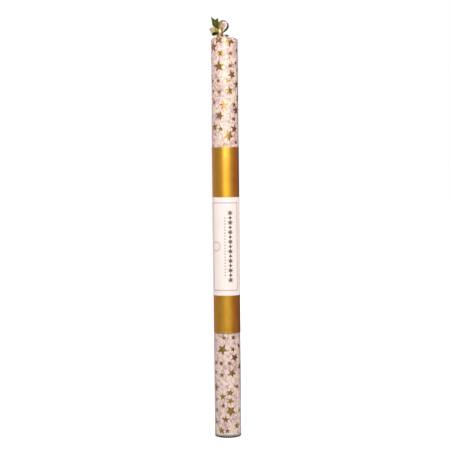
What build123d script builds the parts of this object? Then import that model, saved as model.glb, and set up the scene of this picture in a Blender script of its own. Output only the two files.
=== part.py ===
from build123d import *
import math
import os

# A gift tube of sparklers: a clear tube on a bonded cap, wrapped with a gold band and a label, holding a
# roll of star-printed paper whose gathered top is tied with a ribbon bow. The sparklers stand in the roll.
# Millimetres, +Z up, the origin at the middle of the cap's underside, the front towards -Y.

# Sparklers: a bundle of an inner and an outer ring, which sets the width of everything round it
SPARKLER_LENGTH = 355.6
WIRE_DIAMETER = 2.0
WIRE_CHAMFER = 0.25
COATING_DIAMETER = 5.5
COATING_LENGTH = 250.0
COATING_TAPER = 9.0
COATING_LIP = 0.35
COATING_OVER_TIP = 3.0
INNER_COUNT = 3
OUTER_COUNT = 9
SPARKLER_GAP = 0.36

# Paper roll: a sleeve with a lapped seam at the back, drawn in to a shoulder, a neck and a ruffle
PAPER_WALL = 0.2
PAPER_LAP = 9.0
PAPER_CLEARANCE = 0.12
HEADSPACE = 24.4
PLEATS = 10
SHOULDER_DROP = 1.0
SHOULDER_RISE = 4.2
SHOULDER_STEPS = 4
NECK_RADIUS = 2.7
NECK_PLEAT = 0.7
NECK_LENGTH = 4.0
NECK_LEAN = -4.1
RUFFLE_RISE = 9.0
RUFFLE_RADIUS = 4.9
RUFFLE_PLEAT = 1.5
RUFFLE_WALL = 0.5
RUFFLE_LEAN_X = 1.9
RUFFLE_LEAN_Y = 4.2

# Clear tube and the cap bonded into its foot
TUBE_WALL = 0.3
RIM_ROUND = 0.1
CAP_FLANGE = 1.2
CAP_SPIGOT = 1.6
CAP_ROUND = 0.5
CAP_BOND = 0.05

# Gold band and label, wrapped round the tube with butted seams at the back
WRAP_GLUE = 0.05
WRAP_SEAM = 0.4
BAND_WALL = 0.15
BAND_LENGTH = 179.0
BAND_OFFSET = -0.7
LABEL_WALL = 0.15
LABEL_LENGTH = 94.5
LABEL_OFFSET = -5.7

# Ribbon: turns round the neck, a knot in front of them, two loops and two tails
RIBBON_WIDTH = 6.35
RIBBON_WALL = 0.3
TIE_PLIES = 2
TIE_HEIGHT = 3.0
TIE_SLACK = 0.1
KNOT_WIDTH = 4.4
KNOT_DEPTH = 3.6
KNOT_HEIGHT = 5.6
KNOT_ROUND = 1.3
KNOT_RISE = 2.4
RIGHT_LOOP_LENGTH = 11.4
RIGHT_LOOP_BREADTH = 8.4
RIGHT_LOOP_ANGLE = 72.0
RIGHT_LOOP_TURN = -20.0
RIGHT_LOOP_ROLL = 0.0
RIGHT_LOOP_SIDE = 1.4
RIGHT_LOOP_DROP = 1.5
LEFT_LOOP_LENGTH = 8.6
LEFT_LOOP_BREADTH = 4.2
LEFT_LOOP_ANGLE = 183.0
LEFT_LOOP_TURN = 16.0
LEFT_LOOP_ROLL = -52.0
UPPER_TAIL_LENGTH = 13.6
UPPER_TAIL_SHORT_SIDE = 11.2
UPPER_TAIL_NOTCH = 9.8
UPPER_TAIL_ANGLE = 98.0
UPPER_TAIL_SHIFT = 1.5
UPPER_TAIL_BEND = 26.0
LOWER_TAIL_LENGTH = 7.6
LOWER_TAIL_SLANT = 1.2
LOWER_TAIL_BEND = 20.0
RIBBON_ROOT = 2.0
RIBBON_SPREAD = 5.5
RIBBON_CLEARANCE = 0.5

# Places that follow from the sizes above
sparkler_pitch = COATING_DIAMETER + SPARKLER_GAP
inner_ring = sparkler_pitch / (2 * math.sin(math.pi / INNER_COUNT))
nesting = math.pi / OUTER_COUNT
outer_ring = max(
    sparkler_pitch / (2 * math.sin(nesting)),
    inner_ring * math.cos(nesting) + math.sqrt(sparkler_pitch**2 - (inner_ring * math.sin(nesting)) ** 2),
)
roll_inner = outer_ring + COATING_DIAMETER / 2 + SPARKLER_GAP
roll_outer = roll_inner + PAPER_WALL
lap_outer = roll_outer + PAPER_WALL
bore = lap_outer + PAPER_CLEARANCE
tube_outer = bore + TUBE_WALL
band_inner = tube_outer + WRAP_GLUE
label_inner = band_inner + BAND_WALL + WRAP_GLUE

floor = CAP_FLANGE + CAP_SPIGOT
sparkler_top = floor + SPARKLER_LENGTH
shoulder = sparkler_top + HEADSPACE
rim = shoulder + SHOULDER_DROP
neck_bottom = shoulder + SHOULDER_RISE
neck_top = neck_bottom + NECK_LENGTH
band_middle = rim / 2 + BAND_OFFSET
label_middle = band_middle + LABEL_OFFSET

tie_inner = NECK_RADIUS + TIE_SLACK
tie_outer = tie_inner + TIE_PLIES * RIBBON_WALL
knot_x = NECK_LEAN
knot_y = -(tie_outer + KNOT_DEPTH / 2 - KNOT_ROUND / 2)
knot_z = (neck_bottom + neck_top) / 2 + KNOT_RISE

OVERRUN = 1.0


def upright(radius, bottom, height):
    """A solid round bar standing on bottom."""
    return Pos(0, 0, bottom) * Cylinder(radius, height, align=(Align.CENTER, Align.CENTER, Align.MIN))


def wrapped_sheet(inner, wall, middle, length):
    """A sheet wrapped once round the tube, its ends butted at the back."""
    bottom = middle - length / 2
    sleeve = upright(inner + wall, bottom, length) - upright(inner, bottom, length)
    seam = Pos(0, inner + wall / 2, middle) * Box(WRAP_SEAM, 2 * wall + OVERRUN, length)
    return sleeve - seam


def clear_tube():
    tube = upright(tube_outer, CAP_FLANGE, rim - CAP_FLANGE) - upright(bore, CAP_FLANGE, rim - CAP_FLANGE)
    return fillet(tube.edges().group_by(Axis.Z)[-1], RIM_ROUND)


def base_cap():
    flange = upright(tube_outer, 0, CAP_FLANGE)
    flange = fillet(flange.edges().group_by(Axis.Z)[0], CAP_ROUND)
    return flange + upright(bore - CAP_BOND, CAP_FLANGE, CAP_SPIGOT)


def round_section(height, radius):
    """A circle cut into one arc for each face of a pleat."""
    step = math.pi / PLEATS
    arcs = []
    for k in range(2 * PLEATS):
        start, middle, end = (
            (radius * math.cos(a), radius * math.sin(a), height)
            for a in (k * step, (k + 0.5) * step, (k + 1) * step)
        )
        arcs.append(Edge.make_three_point_arc(start, middle, end))
    return Wire(arcs)


def pleat_section(height, ridge, depth, x, y):
    """A closed zigzag of ridges and valleys round (x, y)."""
    corners = []
    for k in range(2 * PLEATS):
        radius = ridge - depth * (k % 2)
        angle = k * math.pi / PLEATS
        corners.append((x + radius * math.cos(angle), y + radius * math.sin(angle), height))
    return Wire.make_polygon(corners, close=True)


def shoulder_sections(steps, wall):
    """The paper drawing in from the roll to the neck, a quarter of an ellipse, wall inside its outer face."""
    sections = [round_section(shoulder, roll_outer - wall)]
    for step in range(1, steps + 1):
        share = step / SHOULDER_STEPS
        turn = share * math.pi / 2
        ridge = NECK_RADIUS + (roll_outer - NECK_RADIUS) * math.cos(turn) - wall
        height = shoulder + (SHOULDER_RISE - wall) * math.sin(turn)
        sections.append(pleat_section(height, ridge, NECK_PLEAT * share, NECK_LEAN * share**2, 0))
    return sections


def ruffle_section(share, wall, lift=0.0):
    """The paper spreading again above the neck, leaning back behind the bow."""
    ridge = NECK_RADIUS + (RUFFLE_RADIUS - NECK_RADIUS) * share - wall
    depth = NECK_PLEAT + (RUFFLE_PLEAT - NECK_PLEAT) * share
    height = neck_top + RUFFLE_RISE * share + lift
    lean = math.sqrt(share)
    return pleat_section(height, ridge, depth, NECK_LEAN + RUFFLE_LEAN_X * lean, RUFFLE_LEAN_Y * lean)


def star_paper():
    outside = shoulder_sections(SHOULDER_STEPS, 0)
    outside.append(pleat_section(neck_top, NECK_RADIUS, NECK_PLEAT, NECK_LEAN, 0))
    outside.append(ruffle_section(0.4, 0))
    outside.append(ruffle_section(1.0, 0))
    paper = upright(roll_outer, floor, shoulder - floor) + Solid.make_loft(outside, ruled=True)
    lap = upright(lap_outer, floor, shoulder - floor) - upright(roll_outer, floor, shoulder - floor)
    lap &= Pos(0, lap_outer, (floor + shoulder) / 2) * Box(PAPER_LAP, 2 * lap_outer, shoulder - floor)
    hollow = upright(roll_inner, floor, shoulder - floor)
    hollow += Solid.make_loft(shoulder_sections(SHOULDER_STEPS - 1, PAPER_WALL), ruled=True)
    cup = [ruffle_section(0.4, RUFFLE_WALL), ruffle_section(1.0, RUFFLE_WALL)]
    cup.append(ruffle_section(1.0, RUFFLE_WALL, OVERRUN))
    return paper + lap - hollow - Solid.make_loft(cup, ruled=True)


def ribbon_tie():
    """Turns of ribbon drawn tight round the neck, slightly barrelled."""
    bottom = (neck_bottom + neck_top - TIE_HEIGHT) / 2
    top = bottom + TIE_HEIGHT
    face = make_face(
        [
            Line((tie_inner, 0, bottom), (tie_outer - RIBBON_WALL, 0, bottom)),
            ThreePointArc(
                (tie_outer - RIBBON_WALL, 0, bottom),
                (tie_outer, 0, (bottom + top) / 2),
                (tie_outer - RIBBON_WALL, 0, top),
            ),
            Line((tie_outer - RIBBON_WALL, 0, top), (tie_inner, 0, top)),
            Line((tie_inner, 0, top), (tie_inner, 0, bottom)),
        ]
    )
    return Pos(NECK_LEAN, 0, 0) * revolve(face, Axis.Z)


def bow_knot():
    block = Box(KNOT_WIDTH, KNOT_DEPTH, KNOT_HEIGHT)
    block = Pos(knot_x, knot_y, knot_z) * fillet(block.edges(), KNOT_ROUND)
    return block - Pos(NECK_LEAN, 0, 0) * upright(tie_outer, neck_bottom - OVERRUN, NECK_LENGTH + RUFFLE_RISE)


def pinched_outline(length):
    """A ribbon laid flat: gathered to its root in the knot, then spreading to its full width."""
    root, half = RIBBON_ROOT / 2, RIBBON_WIDTH / 2
    lower = [(0, -root), (RIBBON_SPREAD, -half), (length, -half)]
    upper = [(length, half), (RIBBON_SPREAD, half), (0, root)]
    return Polyline(*lower, *upper, close=True)


def bow_loop(x, z, length, breadth, angle, turn, roll):
    """A drop-shaped loop of ribbon from (x, z) in the knot: angle up from +X, turned about Z, then rolled."""
    radius = breadth / 2
    middle = length - radius
    half_angle = math.asin(radius / middle)
    reach = math.sqrt(middle**2 - radius**2)
    upper = (reach * math.cos(half_angle), reach * math.sin(half_angle))
    lower = (upper[0], -upper[1])
    drop = make_face([Line((0, 0), upper), ThreePointArc(upper, (length, 0), lower), Line(lower, (0, 0))])
    strip = extrude(drop - offset(drop, -RIBBON_WALL), RIBBON_WIDTH / 2, both=True)
    strip &= extrude(Plane.XZ * make_face(pinched_outline(length)), breadth, both=True)
    rise, yaw = math.radians(angle), math.radians(turn)
    along = (math.cos(rise) * math.cos(yaw), math.cos(rise) * math.sin(yaw), math.sin(rise))
    across = (math.sin(yaw), -math.cos(yaw), 0)
    return Plane((x, knot_y, z), x_dir=along, z_dir=across) * Rot(roll, 0, 0) * strip


def bent_ribbon(bend):
    """Ribbon bent about the X axis: the front half of a drum, wider than any tail."""
    span = 4 * RIBBON_WIDTH
    drum = Cylinder(bend, span) - Cylinder(bend - RIBBON_WALL, span)
    return Rot(0, 90, 0) * drum & Pos(0, -bend / 2, 0) * Box(span, bend, 2 * bend)


def bow_tail_upper():
    """The tail that stands up beside the knot, its end cut to a swallow's tail."""
    root, half, shift = RIBBON_ROOT / 2, RIBBON_WIDTH / 2, UPPER_TAIL_SHIFT
    outline = Polyline(
        (0, -root),
        (RIBBON_SPREAD, shift - half),
        (UPPER_TAIL_SHORT_SIDE, shift - half),
        (UPPER_TAIL_NOTCH, shift),
        (UPPER_TAIL_LENGTH, shift + half),
        (RIBBON_SPREAD, shift + half),
        (0, root),
        close=True,
    )
    rise = math.radians(UPPER_TAIL_ANGLE)
    root_x = knot_x - KNOT_WIDTH / 2 + RIBBON_CLEARANCE
    root_z = knot_z + KNOT_HEIGHT / 2 - KNOT_ROUND
    front = Plane((root_x, knot_y, root_z), x_dir=(math.cos(rise), 0, math.sin(rise)), z_dir=(0, -1, 0))
    blank = extrude(front * make_face(outline), UPPER_TAIL_BEND / 2, both=True)
    standing = Pos(knot_x, knot_y + UPPER_TAIL_BEND, root_z + RIBBON_SPREAD) * bent_ribbon(UPPER_TAIL_BEND)
    return blank & standing


def bow_tail_lower():
    """The tail that lies to the right over the paper's shoulder, its end cut on the slant."""
    root, half = RIBBON_ROOT / 2, RIBBON_WIDTH / 2
    start = knot_x + KNOT_WIDTH / 2 - KNOT_ROUND
    top = knot_z - KNOT_HEIGHT / 2 + KNOT_ROUND / 3
    outline = Polyline(
        (start, knot_y - root),
        (start + RIBBON_SPREAD, knot_y - half),
        (start + LOWER_TAIL_LENGTH - LOWER_TAIL_SLANT, knot_y - half),
        (start + LOWER_TAIL_LENGTH, knot_y + half),
        (start + RIBBON_SPREAD, knot_y + half),
        (start, knot_y + root),
        close=True,
    )
    blank = Pos(0, 0, top) * extrude(make_face(outline), LOWER_TAIL_BEND / 2, both=True)
    lying = Rot(0, 0, 90) * Rot(-90, 0, 0) * bent_ribbon(LOWER_TAIL_BEND)
    return blank & Pos(knot_x, knot_y, top - LOWER_TAIL_BEND) * lying


def sparkler_wire():
    bar = upright(WIRE_DIAMETER / 2, floor, SPARKLER_LENGTH - COATING_OVER_TIP)
    return chamfer(bar.edges().group_by(Axis.Z)[0], WIRE_CHAMFER)


def sparkler_coating():
    """The dipped coating: thin where the dip began, full along its length, round over the tip."""
    wire, full = WIRE_DIAMETER / 2, COATING_DIAMETER / 2
    start, end = sparkler_top - COATING_LENGTH, sparkler_top
    face = make_face(
        [
            Polyline(
                (0, 0, end),
                (0, 0, end - COATING_OVER_TIP),
                (wire, 0, end - COATING_OVER_TIP),
                (wire, 0, start),
                (wire + COATING_LIP, 0, start),
                (full, 0, start + COATING_TAPER),
                (full, 0, end - full),
            ),
            ThreePointArc(
                (full, 0, end - full),
                (full * math.sin(math.pi / 4), 0, end - full + full * math.cos(math.pi / 4)),
                (0, 0, end),
            ),
        ]
    )
    return revolve(face, Axis.Z)


def sparkler_places():
    """The inner ring sits in the gaps of the outer one."""
    inner = [(inner_ring, 2 * math.pi * k / INNER_COUNT + nesting) for k in range(INNER_COUNT)]
    outer = [(outer_ring, 2 * math.pi * k / OUTER_COUNT) for k in range(OUTER_COUNT)]
    return [(radius * math.cos(angle), radius * math.sin(angle)) for radius, angle in inner + outer]


def main():
    knot, tie = bow_knot(), ribbon_tie()
    bound = knot + tie
    right_loop = bow_loop(
        knot_x + RIGHT_LOOP_SIDE,
        knot_z - RIGHT_LOOP_DROP,
        RIGHT_LOOP_LENGTH,
        RIGHT_LOOP_BREADTH,
        RIGHT_LOOP_ANGLE,
        RIGHT_LOOP_TURN,
        RIGHT_LOOP_ROLL,
    )
    left_loop = bow_loop(
        knot_x,
        knot_z,
        LEFT_LOOP_LENGTH,
        LEFT_LOOP_BREADTH,
        LEFT_LOOP_ANGLE,
        LEFT_LOOP_TURN,
        LEFT_LOOP_ROLL,
    )
    right_loop -= bound
    left_loop -= bound
    pieces = {
        "clear_tube": clear_tube(),
        "base_cap": base_cap(),
        "gold_band": wrapped_sheet(band_inner, BAND_WALL, band_middle, BAND_LENGTH),
        "label": wrapped_sheet(label_inner, LABEL_WALL, label_middle, LABEL_LENGTH),
        "star_paper": star_paper(),
        "ribbon_tie": tie,
        "bow_knot": knot,
        "bow_loop_right": right_loop,
        "bow_loop_left": left_loop,
        "bow_tail_upper": bow_tail_upper() - bound - right_loop - left_loop,
        "bow_tail_lower": bow_tail_lower() - bound - right_loop - left_loop,
    }
    wire, coating = sparkler_wire(), sparkler_coating()
    for number, (x, y) in enumerate(sparkler_places(), start=1):
        pieces[f"sparkler_wire_{number:02d}"] = Pos(x, y, 0) * wire
        pieces[f"sparkler_coating_{number:02d}"] = Pos(x, y, 0) * coating
    os.makedirs("parts", exist_ok=True)
    for name, piece in pieces.items():
        export_step(piece, f"parts/{name}.step")
    print(f"tube {2 * tube_outer:.2f} by {rim:.1f}, paper roll {2 * roll_outer:.2f}")


main()
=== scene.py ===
# %% [markdown]
# # A gift tube of sparklers
# A slim clear tube stands on a bonded cap. Inside it is a roll of star-printed paper, gathered at the top and
# tied with a ribbon bow, and the roll holds a dozen sparklers. A gold band and a pale label go round the tube.
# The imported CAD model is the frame: it gives every piece its place and the body that it moves with. This
# lesson dresses that frame, one piece at a time, and all lengths are metres.

# %% Load the frame
import math
import random

import bmesh
import bpy
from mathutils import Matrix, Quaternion, Vector, noise
from mathutils.bvhtree import BVHTree
from mathutils.geometry import barycentric_transform


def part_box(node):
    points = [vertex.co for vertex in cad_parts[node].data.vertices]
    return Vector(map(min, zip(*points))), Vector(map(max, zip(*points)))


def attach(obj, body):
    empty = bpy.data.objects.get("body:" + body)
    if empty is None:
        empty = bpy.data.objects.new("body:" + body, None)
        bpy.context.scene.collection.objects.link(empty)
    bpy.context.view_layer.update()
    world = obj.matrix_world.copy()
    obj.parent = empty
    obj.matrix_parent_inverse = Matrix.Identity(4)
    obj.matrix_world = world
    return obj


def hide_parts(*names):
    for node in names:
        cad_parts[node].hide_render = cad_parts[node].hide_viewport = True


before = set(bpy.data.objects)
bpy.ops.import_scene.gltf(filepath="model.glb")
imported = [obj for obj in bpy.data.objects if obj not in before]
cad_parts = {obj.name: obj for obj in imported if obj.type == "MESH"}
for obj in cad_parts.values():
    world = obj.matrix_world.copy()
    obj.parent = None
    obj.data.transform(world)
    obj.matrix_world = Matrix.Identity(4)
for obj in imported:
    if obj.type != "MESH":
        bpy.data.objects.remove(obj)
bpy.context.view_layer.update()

MM = 0.001
scene = bpy.context.scene
scene.view_settings.view_transform = "Standard"

# %% [markdown]
# ## Sizes that the frame gives
# The frame already knows where each real piece is. So radii and heights are read from the boxes of its nodes and
# aren't typed twice, here for the tube and its cap, and later for each piece where it is made. A box can't show
# how thick a wall is, so only walls and other small sizes are written down.

# %% Read the tube and the cap
TUBE_WALL = 0.3 * MM

tube_low, tube_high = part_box("clear_tube")
tube_radius = tube_high.x
bore_radius = tube_radius - TUBE_WALL
flange_top = tube_low.z
rim = tube_high.z
cap_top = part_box("base_cap")[1].z
print(f"tube {2 * tube_radius / MM:.2f} by {rim / MM:.1f} mm, cap {cap_top / MM:.1f} mm high")

# %% [markdown]
# ## Camera
# The photograph was taken from about 1.2 m, a little above the middle of the tube, with a long lens. The edges
# of the wraps are straight lines at the camera's own height and sag below it, which gives that height. The tube
# leans by half a degree in the frame, so the camera is rolled by as much. A camera could be set by trying, but
# working out where the foot and the rim fall in the picture shows at once whether it is right. No lens shift is
# used, because other views move this camera and would keep it.

# %% Make the camera
FRAME_PIXELS = 450
HALF_FRAME = FRAME_PIXELS / 2
SENSOR = 36.0
CAMERA_EYE = Vector((-0.0010, -1.2, 0.2702))
CAMERA_AIM = Vector((-0.0010, 0.0, 0.2056))
CAMERA_ROLL = math.radians(-0.585)
CAMERA_LENS = 99.3
CAMERA_NEAR = 0.01

camera = bpy.data.objects.new("camera", bpy.data.cameras.new("camera"))
scene.collection.objects.link(camera)
camera.data.lens = CAMERA_LENS
camera.data.sensor_width = SENSOR
camera.data.clip_start = CAMERA_NEAR
camera.rotation_mode = "QUATERNION"
camera.location = CAMERA_EYE
view_turn = (CAMERA_AIM - CAMERA_EYE).to_track_quat("-Z", "Y") @ Quaternion((0, 0, 1), CAMERA_ROLL)
camera.rotation_quaternion = view_turn
scene.camera = camera
focal_pixels = CAMERA_LENS / SENSOR * FRAME_PIXELS


def pixel_of(point):
    """Where a point of the object falls in the picture."""
    local = view_turn.inverted() @ (Vector(point) - CAMERA_EYE)
    return HALF_FRAME - focal_pixels * local.x / local.z, HALF_FRAME + focal_pixels * local.y / local.z


print("base", pixel_of((0, 0, 0)), "rim", pixel_of((0, 0, rim)))

# %% [markdown]
# ## Studio
# The photograph has a white ground and soft light. A world that is white for every ray would flood the object,
# so a Light Path node tells the rays apart: the camera, reflections and the clear plastic see full white, and
# the rays that light the object find a plain low level. The helpers of this cell set the inputs of nodes by
# name, and they serve every node tree of the lesson.

# %% Light the world
WORLD_LEVEL = 0.17


def feed(tree, socket, value):
    """An input linked to another socket or set to a plain value."""
    if isinstance(value, bpy.types.NodeSocket):
        tree.links.new(value, socket)
    else:
        socket.default_value = value


def set_inputs(tree, node, **values):
    """Inputs of a node, fed by their names."""
    for name, value in values.items():
        feed(tree, node.inputs[name.replace("_", " ")], value)
    return node


def new_node(tree, kind, settings=None, **values):
    """A node with its own settings and then its inputs."""
    made = tree.nodes.new(kind)
    for name, value in (settings or {}).items():
        setattr(made, name, value)
    return set_inputs(tree, made, **values)


def calculate(tree, operation, first, second=0.0):
    """A Math node on two sockets or numbers."""
    made = new_node(tree, "ShaderNodeMath", {"operation": operation})
    for socket, value in zip(made.inputs, (first, second)):
        feed(tree, socket, value)
    return made.outputs[0]


def seen_directly(tree, *others):
    """1 for rays from the camera and for the other kinds named, and 0 for rays that light."""
    path = tree.nodes.new("ShaderNodeLightPath")
    total = path.outputs["Is Camera Ray"]
    for name in others:
        total = calculate(tree, "MAXIMUM", total, path.outputs[name])
    return total


world = bpy.data.worlds.new("studio")
world.use_nodes = True
scene.world = world
sky = world.node_tree
sees_white = seen_directly(sky, "Is Glossy Ray", "Is Transmission Ray")
level = new_node(sky, "ShaderNodeMapRange", Value=sees_white, To_Min=WORLD_LEVEL, To_Max=1.0)
set_inputs(sky, sky.nodes["Background"], Color=(1, 1, 1, 1), Strength=level.outputs["Result"])
print(f"world: white where it is seen, {WORLD_LEVEL} where it lights")

# %% [markdown]
# Foil shows little but what it reflects, so cards stand round the set as a photographer would place them: a pale
# one in front, a grey one on the left, a reddish one on the right, a dark one behind on the right that draws the
# edge of the foil, a rosy one behind on the left and a pale one overhead. Four more lie on the floor, where the
# lower half of the foil looks. Lamps could be reflected too, but they would also light the object. A card shows
# only in reflections, not to the camera, in shadows or through the clear plastic.

# %% Stand the cards
CARD_RADIUS = 1.7
CARD_TOP = 1.7
CARD_STEPS = 12
FLOOR_CARD_START, FLOOR_CARD_LEVEL = 0.25, 0.5 * MM
SQUARE = ((-1, -1), (1, -1), (1, 1), (-1, 1))
STANDING = ((CARD_RADIUS, 0.0), (CARD_RADIUS, CARD_TOP))
LYING = ((FLOOR_CARD_START, FLOOR_CARD_LEVEL), (CARD_RADIUS, FLOOR_CARD_LEVEL))


def round_axis(radius, bearing, height):
    """A point by its distance from the tube's axis, its bearing to the right of the front and its height."""
    return radius * math.sin(bearing), -radius * math.cos(bearing), height


def glow_card(name, points, faces, colour):
    """A card that only reflections show."""
    mesh = bpy.data.meshes.new(name)
    mesh.from_pydata(points, [], faces)
    card = bpy.data.objects.new(name, mesh)
    scene.collection.objects.link(card)
    paint = bpy.data.materials.new(name)
    paint.use_nodes = True
    tree = paint.node_tree
    tree.nodes.clear()
    glow = new_node(tree, "ShaderNodeEmission", Color=(*colour, 1), Strength=1.0)
    new_node(tree, "ShaderNodeOutputMaterial", Surface=glow.outputs[0])
    mesh.materials.append(paint)
    card.visible_camera = card.visible_diffuse = False
    card.visible_shadow = card.visible_transmission = False


def curved_card(name, edges, start, end, colour):
    """A card between two edges of (radius, height) and two bearings in degrees."""
    points = []
    for k in range(CARD_STEPS + 1):
        bearing = math.radians(start + (end - start) * k / CARD_STEPS)
        points += [round_axis(radius, bearing, height) for radius, height in edges]
    faces = [(2 * k, 2 * k + 2, 2 * k + 3, 2 * k + 1) for k in range(CARD_STEPS)]
    glow_card(name, points, faces, colour)


# name, edges, bearings of its two ends, colour
cards = [
    ("card_front", STANDING, -56, 66, (0.56, 0.52, 0.42)),
    ("card_left", STANDING, -112, -56, (0.44, 0.40, 0.36)),
    ("card_right", STANDING, 66, 125, (0.42, 0.20, 0.20)),
    ("card_back_right", STANDING, 125, 178, (0.10, 0.08, 0.07)),
    ("card_back_left", STANDING, -178, -112, (0.54, 0.36, 0.39)),
    ("card_floor_left", LYING, -112, -42, (0.33, 0.33, 0.33)),
    ("card_floor_right", LYING, 42, 110, (0.31, 0.17, 0.22)),
    ("card_floor_back_right", LYING, 110, 179, (0.12, 0.10, 0.09)),
    ("card_floor_back_left", LYING, -179, -112, (0.46, 0.29, 0.33)),
]
for card in cards:
    curved_card(*card)
ceiling = [(CARD_RADIUS * x, CARD_RADIUS * y, CARD_TOP) for x, y in SQUARE]
glow_card("card_overhead", ceiling, [(0, 1, 2, 3)], (0.52, 0.49, 0.48))
print(f"cards: {len(cards)} round the set and one overhead")

# %% [markdown]
# The floor is a plain pale sheet that keeps the object's shadow. Lit to white, it would throw too much light up
# at the tube, so it is grey and glows only for the camera and through the clear plastic. Its glow is weaker near
# the object, where the lamps already light it.

# %% Lay the floor
FLOOR_REACH = 6.0
FLOOR_GREY = (0.40, 0.40, 0.40, 1)
GLOW_NEAR, GLOW_FAR = 0.76, 1.0
NEAR, FAR = 0.2, 1.2

floor_mesh = bpy.data.meshes.new("floor")
floor_mesh.from_pydata([(FLOOR_REACH * x, FLOOR_REACH * y, 0) for x, y in SQUARE], [], [(0, 1, 2, 3)])
floor = bpy.data.objects.new("floor", floor_mesh)
scene.collection.objects.link(floor)
floor_paint = bpy.data.materials.new("floor")
floor_paint.use_nodes = True
tree = floor_paint.node_tree
where = tree.nodes.new("ShaderNodeTexCoord")
reach = new_node(tree, "ShaderNodeVectorMath", {"operation": "LENGTH"})
tree.links.new(where.outputs["Object"], reach.inputs[0])
lift = new_node(tree, "ShaderNodeMapRange", Value=reach.outputs["Value"], From_Min=NEAR, From_Max=FAR)
set_inputs(tree, lift, To_Min=GLOW_NEAR, To_Max=GLOW_FAR)
glow = calculate(tree, "MULTIPLY", lift.outputs["Result"], seen_directly(tree, "Is Transmission Ray"))
floor_shader = set_inputs(tree, tree.nodes["Principled BSDF"], Base_Color=FLOOR_GREY, Roughness=0.9)
set_inputs(tree, floor_shader, Emission_Color=(1, 1, 1, 1), Emission_Strength=glow)
floor_mesh.materials.append(floor_paint)
print(f"floor: {2 * FLOOR_REACH:.0f} m square, glow {GLOW_NEAR} near the tube and {GLOW_FAR} far off")

# %% [markdown]
# Soft lamps light the object, most of them warm. Watts say little about how bright a thing will look, so each
# lamp is set by the share of full white that it gives a white surface at its aim. The wide window in front, its
# brighter core and a strip behind show in the gold as long highlights, and the other lamps only light.

# %% Hang the lamps
WINDOW_TINT = (1.0, 0.97, 0.92)
BACK_TINT = (1.0, 0.98, 0.95)


def soft_lamp(name, place, aim, size, share, colour, shows):
    """A soft lamp that lights a white surface at the aim to this share of full white."""
    data = bpy.data.lights.new(name, "AREA")
    data.shape = "RECTANGLE"
    data.size, data.size_y = size
    data.color = colour
    reach = Vector(aim) - Vector(place)
    data.energy = math.pi**2 * reach.length_squared * share
    lamp = bpy.data.objects.new(name, data)
    scene.collection.objects.link(lamp)
    lamp.location = place
    lamp.rotation_mode = "QUATERNION"
    lamp.rotation_quaternion = reach.to_track_quat("-Z", "Y")
    lamp.visible_camera = False
    lamp.visible_glossy = shows


# name, place, aim, size, share of full white, colour, whether it shows in reflections
lamps = [
    ("window_front", (0.12, -1.35, 0.59), (0, 0, 0.30), (1.7, 0.62), 0.34, WINDOW_TINT, True),
    ("window_core", (0.03, -1.35, 0.59), (0, 0, 0.30), (0.6, 0.62), 0.12, WINDOW_TINT, True),
    ("key_high", (-0.10, -0.50, 0.90), (0, 0, 0.32), (0.6, 0.5), 0.42, (1.0, 0.98, 0.96), False),
    ("fill_left", (-0.8, -0.35, 0.70), (0, 0, 0.32), (0.5, 0.6), 0.48, (1.0, 0.86, 0.88), False),
    ("fill_right", (0.8, -0.45, 0.70), (0, 0, 0.32), (0.5, 0.6), 0.56, (1.0, 0.90, 0.83), False),
    ("fill_back", (0.5, 1.3, 0.7), (0, 0, 0.2), (1.0, 1.0), 0.40, BACK_TINT, False),
    ("strip_back", (-0.2, 1.5, 0.8), (0, 0, 0.2), (0.35, 0.9), 0.16, BACK_TINT, True),
]
for lamp in lamps:
    soft_lamp(*lamp)
print(f"lamps: {len(lamps)}, of which {sum(shows for *_, shows in lamps)} show in the gold")

# %% [markdown]
# ## Shared effects
# Paper, foil, label and ribbon are all thin sheets, so they share one effect for their soft creases and one for
# their fine tooth. An effect could be built again in every material. As a shader node group it is built once and
# placed wherever it is needed, with other values. A group only puts out masks and heights that change over the
# surface, and the material decides what they do.
#
# Creases come first. Rolled paper has broad swells, and ridges where it was pressed. Noise alone would look like
# clouds and cells alone like cracks, so the height adds the two. The tone is a slower noise, for tints that
# drift over the sheet.

# %% Build the soft creases
RIDGE_REACH = 0.22
TONE_SCALE = 0.55


def effect(name, inputs, outputs):
    """An empty shader node group with value sockets, and its two ends."""
    group = bpy.data.node_groups.new(name, "ShaderNodeTree")
    group.interface.new_socket("Coordinates", in_out="INPUT", socket_type="NodeSocketVector")
    for socket in inputs:
        group.interface.new_socket(socket, in_out="INPUT", socket_type="NodeSocketFloat")
    for socket in outputs:
        group.interface.new_socket(socket, in_out="OUTPUT", socket_type="NodeSocketFloat")
    return group, group.nodes.new("NodeGroupInput"), group.nodes.new("NodeGroupOutput")


def noise_in(tree, coordinates, scale, detail=3.0, distortion=0.0):
    """A noise texture whose scale is a number or a socket."""
    made = new_node(tree, "ShaderNodeTexNoise", Vector=coordinates, Scale=scale)
    return set_inputs(tree, made, Detail=detail, Distortion=distortion).outputs["Fac"]


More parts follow.
